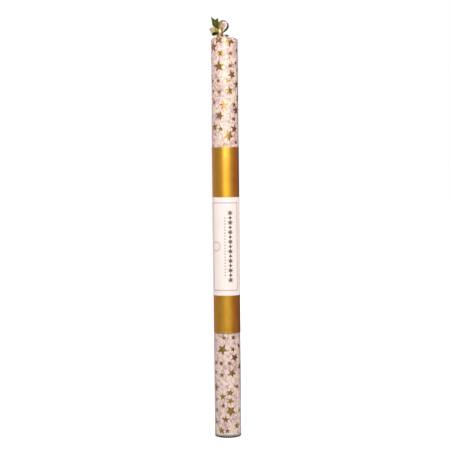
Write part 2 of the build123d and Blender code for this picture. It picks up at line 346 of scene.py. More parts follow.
creases, ends_in, ends_out = effect("soft creases", ("Scale", "Sharpness"), ("Height", "Tone"))
where, scale = ends_in.outputs["Coordinates"], ends_in.outputs["Scale"]
swell = noise_in(creases, where, scale, detail=2.0, distortion=0.6)
cells = new_node(creases, "ShaderNodeTexVoronoi", {"feature": "DISTANCE_TO_EDGE"}, Vector=where, Scale=scale)
ridge = new_node(creases, "ShaderNodeMapRange", Value=cells.outputs["Distance"], From_Max=RIDGE_REACH)
set_inputs(creases, ridge, To_Min=1.0, To_Max=0.0)
sharp = calculate(creases, "MULTIPLY", ridge.outputs["Result"], ends_in.outputs["Sharpness"])
slower = calculate(creases, "MULTIPLY", scale, TONE_SCALE)
drift = noise_in(creases, where, slower, detail=4.0, distortion=1.2)
set_inputs(creases, ends_out, Height=calculate(creases, "ADD", swell, sharp), Tone=drift)
print(f"shared effect: {creases.name}, {len(creases.nodes)} nodes")

# %% [markdown]
# Fibres in paper, the grain of foil, the weave of a ribbon and the lines on drawn wire are all fine noise that
# is longer one way than the other. The group stretches the coordinates along the tube before it reads the
# noise, so that one effect serves them all.

# %% Build the fine tooth


def vector_step(tree, operation, first, second):
    """A Vector Math node on two sockets, of which the second is a number when it scales."""
    made = new_node(tree, "ShaderNodeVectorMath", {"operation": operation})
    tree.links.new(first, made.inputs[0])
    tree.links.new(second, made.inputs["Scale"] if operation == "SCALE" else made.inputs[1])
    return made.outputs[0]


tooth, ends_in, ends_out = effect("fine tooth", ("Scale", "Stretch"), ("Grain",))
along = new_node(tooth, "ShaderNodeCombineXYZ", X=1.0, Y=1.0, Z=ends_in.outputs["Stretch"])
stretched = vector_step(tooth, "MULTIPLY", ends_in.outputs["Coordinates"], along.outputs[0])
set_inputs(tooth, ends_out, Grain=noise_in(tooth, stretched, ends_in.outputs["Scale"], detail=5.0))
print(f"shared effect: {tooth.name}, {len(tooth.nodes)} nodes")

# %% [markdown]
# ## Finishes
# Every finish starts from the Principled shader. A finish that is the same all over is set on the shader's own
# sockets. What varies, such as the mottled tint of the paper or the grain of the foil, comes from the effects,
# through a ramp, a range or a bump. These helpers do that in one line each.

# %% Helpers for finishes
MASK_LOW, MASK_HIGH = 0.3, 0.7


def finish(name, **values):
    """A new material, its tree and its Principled shader, with plain values set on the shader."""
    made = bpy.data.materials.new(name)
    made.use_nodes = True
    shader = set_inputs(made.node_tree, made.node_tree.nodes["Principled BSDF"], **values)
    return made, made.node_tree, shader


def place_effect(tree, group, **values):
    """A shared effect placed in a material on Object coordinates."""
    where = tree.nodes.new("ShaderNodeTexCoord")
    made = new_node(tree, "ShaderNodeGroup", {"node_tree": group}, Coordinates=where.outputs["Object"], **values)
    return made.outputs


def tint(tree, mask, *stops):
    """A colour ramp over a mask, by stops of (place, colour)."""
    ramp = new_node(tree, "ShaderNodeValToRGB", Fac=mask)
    while len(ramp.color_ramp.elements) < len(stops):
        ramp.color_ramp.elements.new(0.5)
    for stop, (place, colour) in zip(ramp.color_ramp.elements, stops):
        stop.position = place
        stop.color = (*colour, 1)
    return ramp.outputs["Color"]


def blended(tree, mask, first, second, how="MIX"):
    """Two colours mixed by a mask."""
    kind = {"data_type": "RGBA", "blend_type": how}
    return new_node(tree, "ShaderNodeMix", kind, Factor=mask, A=first, B=second).outputs["Result"]


def ranged(tree, mask, low, high):
    """The middle of a mask stretched to a range."""
    made = new_node(tree, "ShaderNodeMapRange", Value=mask, From_Min=MASK_LOW, From_Max=MASK_HIGH)
    return set_inputs(tree, made, To_Min=low, To_Max=high).outputs["Result"]


def raise_surface(tree, shader, height, strength, distance):
    """Bump from a height."""
    bump = new_node(tree, "ShaderNodeBump", Height=height, Strength=strength, Distance=distance)
    set_inputs(tree, shader, Normal=bump.outputs["Normal"])


print("helpers ready")

# %% [markdown]
# The clear tube is extruded plastic with faint handling marks along it. What the camera sees through it is bent,
# as in the real wall. Rays from the lamps, and rays that leave the paper and the foil, pass straight, because
# they would otherwise be caught in the wall and leave the inside dark. Towards its edges, where the eye looks
# along the plastic, the wall's colour is painted darker through Layer Weight: painted shade for the dark edge
# that a clear wall shows. The cap's flange is painted near-black, as painted shade for the dark line at the
# foot, and the plug above it is clear.

# %% Clear plastic
CLEAR = (0.985, 0.985, 0.98)
CAP_CLEAR = (0.9, 0.88, 0.87)


def clear_plastic(name, colour, through):
    """Plastic that bends what the camera sees through it and lets other rays pass straight."""
    made, tree, shader = finish(name, Base_Color=(*colour, 1), Transmission_Weight=1.0, IOR=1.49)
    marks = place_effect(tree, tooth, Scale=420.0, Stretch=0.08)
    set_inputs(tree, shader, Roughness=ranged(tree, marks["Grain"], 0.015, 0.07))
    path = tree.nodes.new("ShaderNodeLightPath")
    inside = calculate(tree, "MAXIMUM", path.outputs["Is Shadow Ray"], path.outputs["Is Reflection Ray"])
    open_way = new_node(tree, "ShaderNodeBsdfTransparent", Color=(*through, 1))
    mix = tree.nodes.new("ShaderNodeMixShader")
    for socket, output in zip(mix.inputs, (inside, shader.outputs[0], open_way.outputs[0])):
        tree.links.new(output, socket)
    set_inputs(tree, tree.nodes["Material Output"], Surface=mix.outputs[0])
    return made, tree, shader


tube_plastic, tree, shader = clear_plastic("clear_tube_plastic", CLEAR, (0.96, 0.96, 0.955))
edge = new_node(tree, "ShaderNodeLayerWeight", Blend=0.5)
# Painted shade: the glass colour darkens to near-black towards the edges, for the dark edge of a clear wall.
edge_shade_stops = (0.52, CLEAR), (0.86, (0.70, 0.65, 0.64)), (1.0, (0.18, 0.15, 0.14))
set_inputs(tree, shader, Base_Color=tint(tree, edge.outputs["Facing"], *edge_shade_stops))

cap_plastic, tree, shader = clear_plastic("cap_plastic", CAP_CLEAR, (0.5, 0.5, 0.5))
where = tree.nodes.new("ShaderNodeTexCoord")
split = new_node(tree, "ShaderNodeSeparateXYZ", Vector=where.outputs["Object"])
in_plug = new_node(tree, "ShaderNodeMapRange", Value=split.outputs["Z"], From_Min=flange_top, From_Max=cap_top)
# Painted shade: below the plug the clear cap is near-black, for the dark line of refraction and shadow at the
# foot.
flange_shade_stops = (0.02, (0.012, 0.010, 0.009)), (0.25, CAP_CLEAR)
set_inputs(tree, shader, Base_Color=tint(tree, in_plug.outputs["Result"], *flange_shade_stops))
print(f"plastics: {tube_plastic.name}, {cap_plastic.name}")

# %% [markdown]
# The wrapping paper is soft and mottled: blush, clouded with cream and lavender, flecked with fibres and creased
# from being rolled. A picture of paper would repeat and blur close up, so the clouds, the flecks and the relief
# come from the two effects and stay sharp. Its back is plain and shows only inside the roll and in the ruffle.

# %% Star paper
BLUSH = (0.95, 0.715, 0.655)
CREAM = (0.97, 0.860, 0.745)
LAVENDER = (0.74, 0.510, 0.550)
WHITE = (1, 1, 1)

paper_front, tree, shader = finish("star_paper_front", Specular_IOR_Level=0.35)
crease = place_effect(tree, creases, Scale=360.0, Sharpness=0.6)
fibre = place_effect(tree, tooth, Scale=900.0, Stretch=0.45)
clouds = tint(tree, crease["Tone"], (0.38, LAVENDER), (0.47, BLUSH), (0.56, CREAM))
flecks = tint(tree, fibre["Grain"], (0.38, (0.54, 0.45, 0.46)), (0.49, WHITE))
set_inputs(tree, shader, Base_Color=blended(tree, 1.0, clouds, flecks, "MULTIPLY"))
set_inputs(tree, shader, Roughness=ranged(tree, fibre["Grain"], 0.5, 0.7))
raise_surface(tree, shader, crease["Height"], strength=0.9, distance=0.3 * MM)

paper_back, tree, shader = finish("star_paper_back", Specular_IOR_Level=0.3)
fibre = place_effect(tree, tooth, Scale=1800.0, Stretch=0.5)
plain = tint(tree, fibre["Grain"], (0.35, (0.74, 0.71, 0.68)), (0.65, (0.84, 0.82, 0.79)))
set_inputs(tree, shader, Base_Color=plain, Roughness=ranged(tree, fibre["Grain"], 0.65, 0.85))
raise_surface(tree, shader, fibre["Grain"], strength=0.2, distance=0.05 * MM)
print(f"papers: {paper_front.name}, {paper_back.name}")

# %% [markdown]
# The label is smoother stock, a pale pink with a fine tooth. Ink sinks into such paper and keeps its roughness,
# so an ink is only a colour that is a little uneven. A dark, a middle and a pale ink are enough, and one
# function makes all three.

# %% Label paper and inks
label_paper, tree, shader = finish("label_paper", Specular_IOR_Level=0.4)
crease = place_effect(tree, creases, Scale=60.0, Sharpness=0.1)
fibre = place_effect(tree, tooth, Scale=2200.0, Stretch=0.6)
stock = tint(tree, crease["Tone"], (0.36, (0.93, 0.855, 0.835)), (0.62, (0.96, 0.895, 0.865)))
flecks = tint(tree, fibre["Grain"], (0.36, (0.96, 0.95, 0.95)), (0.55, WHITE))
set_inputs(tree, shader, Base_Color=blended(tree, 1.0, stock, flecks, "MULTIPLY"))
set_inputs(tree, shader, Roughness=ranged(tree, fibre["Grain"], 0.42, 0.6))
raise_surface(tree, shader, fibre["Grain"], strength=0.15, distance=0.06 * MM)


def ink(name, deep, pale):
    """An ink between two depths of one colour, as the paper takes it up."""
    made, tree, shader = finish(name, Specular_IOR_Level=0.4)
    grain = place_effect(tree, tooth, Scale=2600.0, Stretch=0.7)["Grain"]
    colour = tint(tree, grain, (0.35, deep), (0.65, pale))
    set_inputs(tree, shader, Base_Color=colour, Roughness=ranged(tree, grain, 0.4, 0.6))
    return made


label_ink = ink("label_ink", (0.12, 0.080, 0.065), (0.22, 0.155, 0.13))
frame_ink = ink("label_frame_ink", (0.44, 0.33, 0.34), (0.58, 0.46, 0.46))
pale_ink = ink("label_pale_ink", (0.66, 0.54, 0.55), (0.76, 0.65, 0.65))
print(f"label: {label_paper.name} and three inks")

# %% [markdown]
# Band, stars and ribbon are all gold, but not the same gold. The band is satin foil on paper under a clear
# lacquer, the stars are hot foil pressed into a rough paper, and the ribbon is a yellower metallic weave with a
# dull back, whose near-black olive is partly painted shade, the dark of the ribbon's shaded side. They differ
# only in colour, roughness, grain and relief, so one function makes all four. The coat on the band gives the
# second, sharper highlight that lacquer has.

# %% Golds
GOLD_RELIEF = 0.04 * MM


def gold(name, deep, bright, roughness, grain_scale, stretch, relief, **values):
    """A metallic finish between two golds, uneven in tone and grain."""
    made, tree, shader = finish(name, **values)
    tone = place_effect(tree, creases, Scale=95.0, Sharpness=0.3)["Tone"]
    grain = place_effect(tree, tooth, Scale=grain_scale, Stretch=stretch)["Grain"]
    mask = calculate(tree, "MULTIPLY", calculate(tree, "ADD", tone, grain), 0.5)
    set_inputs(tree, shader, Base_Color=tint(tree, mask, (0.36, deep), (0.64, bright)))
    set_inputs(tree, shader, Roughness=ranged(tree, grain, *roughness))
    raise_surface(tree, shader, grain, relief, GOLD_RELIEF)
    return made


band_gold = gold(
    "gold_band_foil", (0.68, 0.335, 0.020), (0.90, 0.47, 0.036), roughness=(0.27, 0.38),
    grain_scale=1300.0, stretch=6.0, relief=0.25, Metallic=1.0, Coat_Weight=1.0, Coat_Roughness=0.12,
)
star_gold = gold(
    "star_foil", (0.37, 0.165, 0.006), (0.64, 0.365, 0.028), roughness=(0.15, 0.25),
    grain_scale=1800.0, stretch=1.0, relief=0.15, Metallic=1.0,
)
ribbon_gold = gold(
    "ribbon_weave", (0.54, 0.44, 0.15), (0.88, 0.75, 0.38), roughness=(0.24, 0.40),
    grain_scale=2600.0, stretch=0.25, relief=0.5, Metallic=0.75,
)
# Partly painted shade: a dull back, darkened to the near-black olive of the ribbon's shaded side.
ribbon_back_and_shade = gold(
    "ribbon_weave_back_and_shade", (0.045, 0.052, 0.005), (0.105, 0.110, 0.012), roughness=(0.45, 0.62),
    grain_scale=2600.0, stretch=0.25, relief=0.5, Metallic=0.45, Specular_IOR_Level=0.15,
)
print(f"golds: {band_gold.name}, {star_gold.name}, {ribbon_gold.name}, {ribbon_back_and_shade.name}")

# %% [markdown]
# A sparkler is a drawn steel wire dipped in a grey paste that dries rough, with bright metal filings in it.
# Drawing leaves fine lines along the wire, so its tooth is stretched far. The filings could be small solids, but
# they are finer than any view shows, so a mask turns spots of the paste into metal.

# %% Sparkler finishes
wire_steel, tree, shader = finish("drawn_wire", Metallic=1.0)
grain = place_effect(tree, tooth, Scale=3200.0, Stretch=0.04)["Grain"]
lines = tint(tree, grain, (0.35, (0.30, 0.29, 0.28)), (0.65, (0.58, 0.57, 0.55)))
set_inputs(tree, shader, Base_Color=lines, Roughness=ranged(tree, grain, 0.28, 0.46))

dried_paste, tree, shader = finish("dried_paste", Specular_IOR_Level=0.3)
tone = place_effect(tree, creases, Scale=900.0, Sharpness=0.4)["Tone"]
grain = place_effect(tree, tooth, Scale=4200.0, Stretch=1.0)["Grain"]
grey = tint(tree, tone, (0.35, (0.085, 0.083, 0.082)), (0.65, (0.19, 0.185, 0.18)))
filings = tint(tree, grain, (0.62, (0, 0, 0)), (0.68, WHITE))
set_inputs(tree, shader, Base_Color=blended(tree, filings, grey, (0.62, 0.61, 0.60, 1)), Metallic=filings)
set_inputs(tree, shader, Roughness=ranged(tree, tone, 0.75, 0.95))
raise_surface(tree, shader, grain, strength=0.6, distance=0.12 * MM)
print(f"sparkler finishes: {wire_steel.name}, {dried_paste.name}")

# %% [markdown]
# ## Pieces
# Every piece ends in the same way: its mesh becomes an object that rides on one body of the frame and hides
# the CAD nodes that it stands for. A solid shape could come straight from its points and faces, but then its
# seam stays open and some faces may look inwards. So it goes through a BMesh, which welds the points that meet
# and turns the faces outwards.

# %% Helpers for pieces
SHARP_ANGLE = math.radians(40)


def add_piece(name, mesh, body, slot_name, *nodes):
    """A finished mesh as a piece that rides on a body and hides the CAD nodes it stands for; slot_name is not
    used.
    """
    piece = bpy.data.objects.new(name, mesh)
    scene.collection.objects.link(piece)
    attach(piece, body)
    if nodes:
        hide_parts(*nodes)


def smooth(mesh):
    """Smooth shading that keeps the sharp edges."""
    mesh.shade_smooth()
    mesh.set_sharp_from_angle(angle=SHARP_ANGLE)
    return mesh


def closed_mesh(name, points, faces, material, weld=0.0):
    """A mesh with its faces turned outwards, and with points nearer than weld made one."""
    shape = bmesh.new()
    verts = [shape.verts.new(point) for point in points]
    for face in faces:
        shape.faces.new([verts[i] for i in face])
    if weld:
        bmesh.ops.remove_doubles(shape, verts=shape.verts, dist=weld)
    bmesh.ops.recalc_face_normals(shape, faces=shape.faces)
    mesh = bpy.data.meshes.new(name)
    shape.to_mesh(mesh)
    shape.free()
    mesh.materials.append(material)
    return smooth(mesh)


print("helpers ready")

# %% [markdown]
# ## Tube and cap
# The tube is cut from an extruded pipe, and its lip is rounded, as a flame-polished edge is. The cap has a
# flange under the tube and a plug inside it. Both are turned shapes, so each is an outline of radius and height
# carried round the axis. A Screw modifier could do that too, but it would leave the welding for later.

# %% Turn the tube and the cap
TURN_STEPS = 160
TURN_WELD = 1e-7
CORNER_STEPS = 6
LIP_ROUND = 0.1 * MM
FLANGE_ROUND = 0.5 * MM
CAP_BOND = 0.05 * MM
PLUG_CHAMFER = 0.25 * MM


def arc(radius, height, bend, start, end):
    """Points of a rounded corner in an outline, by its middle and its start and end bearings in degrees."""
    turns = [math.radians(start + (end - start) * k / CORNER_STEPS) for k in range(CORNER_STEPS + 1)]
    return [(radius + bend * math.cos(turn), height + bend * math.sin(turn)) for turn in turns]


def turned(name, outline, material):
    """A closed outline of (radius, height) carried round the tube's axis."""
    count = len(outline)
    points, faces = [], []
    for k in range(TURN_STEPS):
        points += [round_axis(radius, 2 * math.pi * k / TURN_STEPS, height) for radius, height in outline]
        here, there = k * count, (k + 1) % TURN_STEPS * count
        for j in range(count):
            i = (j + 1) % count
            faces.append((here + j, there + j, there + i, here + i))
    return closed_mesh(name, points, faces, material, TURN_WELD)


tube_outline = [(bore_radius, flange_top), (tube_radius, flange_top)]
tube_outline += arc(tube_radius - LIP_ROUND, rim - LIP_ROUND, LIP_ROUND, 0, 90)
tube_outline += arc(bore_radius + LIP_ROUND, rim - LIP_ROUND, LIP_ROUND, 90, 180)
tube_mesh = turned("tube_wall", tube_outline, tube_plastic)
add_piece("tube_wall", tube_mesh, "tube", "clear_plastic", "clear_tube")

plug_radius = bore_radius - CAP_BOND
cap_outline = [(0, 0)] + arc(tube_radius - FLANGE_ROUND, FLANGE_ROUND, FLANGE_ROUND, -90, 0)
cap_outline += [(tube_radius, flange_top), (plug_radius, flange_top), (plug_radius, cap_top - PLUG_CHAMFER)]
cap_outline += [(plug_radius - PLUG_CHAMFER, cap_top), (0, cap_top)]
cap_mesh = turned("foot_cap", cap_outline, cap_plastic)
add_piece("foot_cap", cap_mesh, "tube", "clear_plastic", "base_cap")
print(f"tube: {len(tube_mesh.polygons)} faces, cap: {len(cap_mesh.polygons)} faces")

# %% [markdown]
# ## Sheets
# Band, label and wrapping paper are sheets, and so is each stretch of ribbon. A sheet could be a bent plane, but
# here its rows of points are worked out and joined to a grid of quads. The grid has a flat map of itself, named
# Sheet, from 0 to 1 across and up. Prints are laid out flat and then placed through that map, in the same way as
# they reach real paper: printed first and wrapped afterwards. A Solidify modifier gives the sheet its thickness.

# %% Helpers for sheets


def grid_sheet(name, rows, sheet_places):
    """A sheet of quads through rows of points, with its flat map."""
    wide = len(rows[0])
    faces = []
    for j in range(len(rows) - 1):
        for i in range(wide - 1):
            low = j * wide + i
            faces.append((low, low + 1, low + wide + 1, low + wide))
    mesh = bpy.data.meshes.new(name)
    mesh.from_pydata([point for row in rows for point in row], [], faces)
    flat = mesh.uv_layers.new(name="Sheet")
    for loop in mesh.loops:
        flat.data[loop.index].uv = sheet_places[loop.vertex_index]
    mesh.shade_smooth()
    return mesh


def plain_copy(name, holder):
    """What an object's modifiers make of it, as a plain mesh. The object goes."""
    bpy.context.view_layer.update()
    evaluated = holder.evaluated_get(bpy.context.evaluated_depsgraph_get())
    made = bpy.data.meshes.new_from_object(evaluated)
    made.name = name
    bpy.data.objects.remove(holder)
    return smooth(made)


def walled(name, sheet, wall, face, back=None, offset=-1.0):
    """A plain mesh of a sheet given thickness, with its back in its own material if any."""
    sheet.materials.append(face)
    if back is not None:
        sheet.materials.append(back)
    holder = bpy.data.objects.new(name + "_holder", sheet)
    scene.collection.objects.link(holder)
    wall_maker = holder.modifiers.new("Wall", "SOLIDIFY")
    wall_maker.thickness = wall
    wall_maker.offset = offset
    wall_maker.material_offset = wall_maker.material_offset_rim = len(sheet.materials) - 1
    return plain_copy(name, holder)


print("helpers ready")

# %% [markdown]
# ## Band and label
# The band and the label are glued round the tube, one over the other. Each goes round once until its ends meet
# at the back, where they lift a little. A plain cylinder would have no ends to lift and no place for a print, so
# each is a sheet that is carried round the axis.

# %% Wrap the band and the label
WRAP_COLUMNS = 192
BAND_ROWS, LABEL_ROWS = 24, 16
WRAP_WALL = 0.15 * MM
SEAM_GAP = 0.4 * MM
SEAM_LIFT = 0.10 * MM
SEAM_ZONE = 2.5 * MM

band_low, band_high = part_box("gold_band")
label_low, label_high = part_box("label")
band_radius, label_radius = band_high.x, label_high.x


def ease(value):
    """A slow start and a slow end, from 0 at 0 to 1 at 1."""
    value = min(max(value, 0), 1)
    return value * value * (3 - 2 * value)


def wrap(name, radius, bottom, top, rows_count):
    """A sheet wrapped once round the tube."""
    reach = math.pi - SEAM_GAP / 2 / radius
    rows, flat = [], []
    for j in range(rows_count + 1):
        up = j / rows_count
        row = []
        for i in range(WRAP_COLUMNS + 1):
            across = i / WRAP_COLUMNS
            bearing = (2 * across - 1) * reach
            to_seam = (reach - abs(bearing)) * radius
            lifted = radius + SEAM_LIFT * ease(1 - to_seam / SEAM_ZONE)
            row.append(round_axis(lifted, bearing, bottom + (top - bottom) * up))
            flat.append((across, up))
        rows.append(row)
    return grid_sheet(name, rows, flat)


band_sheet = wrap("band_sheet", band_radius, band_low.z, band_high.z, BAND_ROWS)
band_mesh = walled("gold_wrap", band_sheet, WRAP_WALL, band_gold)
add_piece("gold_wrap", band_mesh, "tube", "gold_foil", "gold_band")
label_sheet = wrap("label_sheet", label_radius, label_low.z, label_high.z, LABEL_ROWS)
label_mesh = walled("label_wrap", label_sheet, WRAP_WALL, label_paper)
add_piece("label_wrap", label_mesh, "tube", "label_paper", "label")
label_height = label_high.z - label_low.z
print(f"band {(band_high.z - band_low.z) / MM:.1f} mm high, label {label_height / MM:.1f} mm")

# %% [markdown]
# ## Paper roll
# The paper is one sheet. It goes once round and laps over its own start at the back, and above the sparklers it
# is drawn in to a shoulder, a tied neck and a ruffle. Cloth simulation could gather it, but a rule puts the
# pleats where they belong and takes no time. A row of the sheet is a ring with a middle, a height, a ridge
# radius and a pleat depth. So the form is first a list of rings, softened where the paper bends.

# %% Plan the rings of the paper
PLEATS = 10
SHOULDER_DROP = 1.0 * MM
SHOULDER_RISE = 4.2 * MM
NECK_RADIUS = 2.7 * MM
NECK_PLEAT = 0.7 * MM
NECK_LENGTH = 4.0 * MM
RUFFLE_RADIUS = 5.2 * MM
RUFFLE_PLEAT = 2.0 * MM
RUFFLE_LEAN_X = 1.9 * MM
RUFFLE_LEAN_Y = 4.2 * MM
ROLL_ROWS, SHOULDER_ROWS, NECK_ROWS, RUFFLE_ROWS = 66, 26, 8, 22
SOFTENING = 3

paper_low, paper_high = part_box("star_paper")
tie_low, tie_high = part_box("ribbon_tie")
roll_radius = paper_high.x
paper_foot = paper_low.z
ruffle_top = paper_high.z
shoulder = rim - SHOULDER_DROP
neck_bottom = shoulder + SHOULDER_RISE
neck_top = neck_bottom + NECK_LENGTH
neck_lean = (tie_low.x + tie_high.x) / 2


def paper_rings():
    """Rings of the sheet from the foot to the ruffle: middle x and y, height, ridge radius and pleat depth."""
    rings = []
    for k in range(ROLL_ROWS):
        rings.append([0, 0, paper_foot + (shoulder - paper_foot) * k / ROLL_ROWS, roll_radius, 0])
    for k in range(SHOULDER_ROWS):
        share = k / SHOULDER_ROWS
        turn = share * math.pi / 2
        ridge = NECK_RADIUS + (roll_radius - NECK_RADIUS) * math.cos(turn)
        height = shoulder + SHOULDER_RISE * math.sin(turn)
        rings.append([neck_lean * share**2, 0, height, ridge, NECK_PLEAT * share])
    for k in range(NECK_ROWS):
        rings.append([neck_lean, 0, neck_bottom + NECK_LENGTH * k / NECK_ROWS, NECK_RADIUS, NECK_PLEAT])
    for k in range(RUFFLE_ROWS + 1):
        share = k / RUFFLE_ROWS
        lean = math.sqrt(share)
        ridge = NECK_RADIUS + (RUFFLE_RADIUS - NECK_RADIUS) * share
        depth = NECK_PLEAT + (RUFFLE_PLEAT - NECK_PLEAT) * share
        height = neck_top + (ruffle_top - neck_top) * share
        rings.append([neck_lean + RUFFLE_LEAN_X * lean, RUFFLE_LEAN_Y * lean, height, ridge, depth])
    for _ in range(SOFTENING):
        bent = [ring[:] for ring in rings]
        for k in range(ROLL_ROWS - 2, len(rings) - 1):
            for n in range(5):
                bent[k][n] = (rings[k - 1][n] + 2 * rings[k][n] + rings[k + 1][n]) / 4
        rings = bent
    return rings


rings = paper_rings()
print(f"paper: {len(rings)} rings, roll {2 * roll_radius / MM:.2f} mm, shoulder at {shoulder / MM:.1f} mm")

# %% [markdown]
# Each ring becomes a row of points. Hand-gathered pleats are never even, so their width wanders round the neck.
# The lap steps over the start of the sheet, the roll springs a little towards the front of the tube, slow noise
# keeps it from looking machined, and the free edge of the ruffle frills. The row also keeps its place on the
# flat sheet, measured along the paper, so that a print isn't stretched on the shoulder.

# %% Roll and gather the paper
PAPER_WALL = 0.2 * MM
PAPER_LAP = 9.0 * MM
PAPER_COLUMNS = 224
LAP_EASE = math.radians(10)
LAP_STEP = 1.2 * PAPER_WALL
LAP_PRESSED = 0.6
ROLL_INSET = 0.2 * PAPER_WALL
ROLL_SPRING = 0.17 * MM
ROLL_WAVE, WAVE_ROUND, WAVE_UP = 0.05 * MM, 3, 90
FRILL, FRILL_ROUND, FRILL_LEVEL = 0.9 * MM, 2, 7
PLEAT_SWAYS = ((0.16, 3, 0.7), (0.09, 5, 2.1))
PLEAT_POWER = 0.8

lap_angle = PAPER_LAP / roll_radius
sheet_turn = 2 * math.pi + lap_angle
sheet_width = sheet_turn * roll_radius


def pleat_wave(bearing):
    """0 on a ridge and 1 in a valley, with pleats of uneven width."""
    uneven = bearing
    for sway, waves, phase in PLEAT_SWAYS:
        uneven += sway * math.sin(waves * bearing + phase)
    return (0.5 - 0.5 * math.cos(PLEATS * uneven)) ** PLEAT_POWER


def ring_noise(bearing, spread, level):
    """Noise that closes on itself round the tube."""
    return noise.noise(Vector((spread * math.sin(bearing), spread * math.cos(bearing), level)))


def paper_row(k):
    """The points of one ring, from the start of the sheet to its lapped end."""
    x, y, height, ridge, depth = rings[k]
    below, above = rings[max(k - 1, 0)], rings[min(k + 1, len(rings) - 1)]
    run, climb = above[3] - below[3], above[2] - below[2]
    slope = math.hypot(run, climb)
    out, up = climb / slope, -run / slope
    gathered = max((k - ROLL_ROWS) / (len(rings) - ROLL_ROWS), 0)
    row = []
    for i in range(PAPER_COLUMNS + 1):
        bearing = (i / PAPER_COLUMNS - 0.5) * sheet_turn
        over = ease((bearing - math.pi + lap_angle / 2 + LAP_EASE) / LAP_EASE)
        lap = LAP_STEP * over * (1 - LAP_PRESSED * gathered)
        sink = ROLL_WAVE * ring_noise(bearing, WAVE_ROUND, height * WAVE_UP) - depth * pleat_wave(bearing)
        frill = gathered**3 * FRILL * ring_noise(bearing, FRILL_ROUND, FRILL_LEVEL)
        spring = ROLL_SPRING * (0.5 + 0.5 * math.cos(bearing)) * (1 - gathered)
        radius = ridge + sink * out + lap + spring - ROLL_INSET
        side, front, level = round_axis(radius, bearing, height + sink * up + frill)
        row.append((x + side, y + front, level))
    return row


flat_heights = [0.0]
for before, after in zip(rings, rings[1:]):
    flat_heights.append(flat_heights[-1] + math.hypot(after[2] - before[2], after[3] - before[3]))
sheet_length = flat_heights[-1]
paper_flat = [(i / PAPER_COLUMNS, up / sheet_length) for up in flat_heights for i in range(PAPER_COLUMNS + 1)]
star_sheet = grid_sheet("star_sheet", [paper_row(k) for k in range(len(rings))], paper_flat)
paper_mesh = walled("paper_roll", star_sheet, PAPER_WALL, paper_front, paper_back)
add_piece("paper_roll", paper_mesh, "bundle", "star_paper", "star_paper")
print(f"paper sheet {sheet_width / MM:.1f} by {sheet_length / MM:.1f} mm, {len(star_sheet.polygons)} quads")

# %% [markdown]
# ## Printing
# A print is many copies of one small shape, so Geometry Nodes make it. Points lie on the flat sheet, each with a
# size and a turn. The tree puts a thin closed star on every point, makes the copies real, and then moves every
# corner through the sheet's map to the wrapped paper. An image texture would be flat, and foil stands out from
# the paper and catches the light on its own edge.
#
# The star comes first: a disc whose every other corner is drawn in to a waist, cut finer so that it can follow a
# curve, raised, and closed underneath.

# %% Shape one star
STAR_SEAL = 0.001


def geometry_tree(name, **inputs):
    """A Geometry Nodes tree with named inputs of the kinds given, and its two ends."""
    tree = bpy.data.node_groups.new(name, "GeometryNodeTree")
    tree.interface.new_socket("Geometry", in_out="INPUT", socket_type="NodeSocketGeometry")
    for socket, kind in inputs.items():
        tree.interface.new_socket(socket.replace("_", " "), in_out="INPUT", socket_type="NodeSocket" + kind)
    tree.interface.new_socket("Geometry", in_out="OUTPUT", socket_type="NodeSocketGeometry")
    return tree, tree.nodes.new("NodeGroupInput").outputs, tree.nodes.new("NodeGroupOutput")


printing, given, result = geometry_tree(
    "print on sheet", Rays="Int", Waist="Float", Depth="Float", Sheet="Object",
    Sheet_Width="Float", Sheet_Length="Float", Material="Material",
)
corners = calculate(printing, "MULTIPLY", given["Rays"], 2.0)
fan = {"fill_type": "TRIANGLE_FAN"}
disc = new_node(printing, "GeometryNodeMeshCircle", fan, Vertices=corners, Radius=1.0)
corner = printing.nodes.new("GeometryNodeInputIndex")
odd = calculate(printing, "MODULO", corner.outputs["Index"], 2.0)
cut = calculate(printing, "MULTIPLY", odd, calculate(printing, "SUBTRACT", 1.0, given["Waist"]))
place = printing.nodes.new("GeometryNodeInputPosition").outputs[0]
drawn_in = vector_step(printing, "SCALE", place, calculate(printing, "SUBTRACT", 1.0, cut))
star = new_node(printing, "GeometryNodeSetPosition", Geometry=disc.outputs["Mesh"], Position=drawn_in)
finer = new_node(printing, "GeometryNodeSubdivideMesh", Mesh=star.outputs["Geometry"])
raised = new_node(printing, "GeometryNodeExtrudeMesh", Mesh=finer.outputs["Mesh"], Offset_Scale=1.0)
set_inputs(printing, raised, Individual=False)
under = new_node(printing, "GeometryNodeFlipFaces", Mesh=finer.outputs["Mesh"])
closed = printing.nodes.new("GeometryNodeJoinGeometry")
for half in (raised, under):
    printing.links.new(half.outputs["Mesh"], closed.inputs["Geometry"])
joined = closed.outputs["Geometry"]
sealed = new_node(printing, "GeometryNodeMergeByDistance", Geometry=joined, Distance=STAR_SEAL)
print(f"printing tree: a star in {len(printing.nodes)} nodes")

# %% [markdown]
# Then the copies. Instance on Points reads the size and the turn that each point carries, so one tree serves
# stars, sparks and dots of any size. The copies are made real at once, because every corner of every copy has
# to find its own place on the wrapped sheet: Sample UV Surface looks up the point and the normal of the sheet
# where the corner lies on the flat map.

# %% Copy the star and wrap the copies


def attribute_of(tree, name, kind="FLOAT"):
    """A named attribute of what the tree runs on."""
    made = new_node(tree, "GeometryNodeInputNamedAttribute", {"data_type": kind}, Name=name)
    return made.outputs["Attribute"]


size = attribute_of(printing, "size")
spread = new_node(printing, "ShaderNodeCombineXYZ", X=size, Y=size, Z=given["Depth"])
turn = new_node(printing, "ShaderNodeCombineXYZ", Z=attribute_of(printing, "turn"))
turner = new_node(printing, "FunctionNodeEulerToRotation", Euler=turn.outputs[0])
copies = new_node(printing, "GeometryNodeInstanceOnPoints", Points=given["Geometry"])
set_inputs(printing, copies, Instance=sealed.outputs["Geometry"])
set_inputs(printing, copies, Rotation=turner.outputs["Rotation"], Scale=spread.outputs[0])
real = new_node(printing, "GeometryNodeRealizeInstances", Geometry=copies.outputs["Instances"])

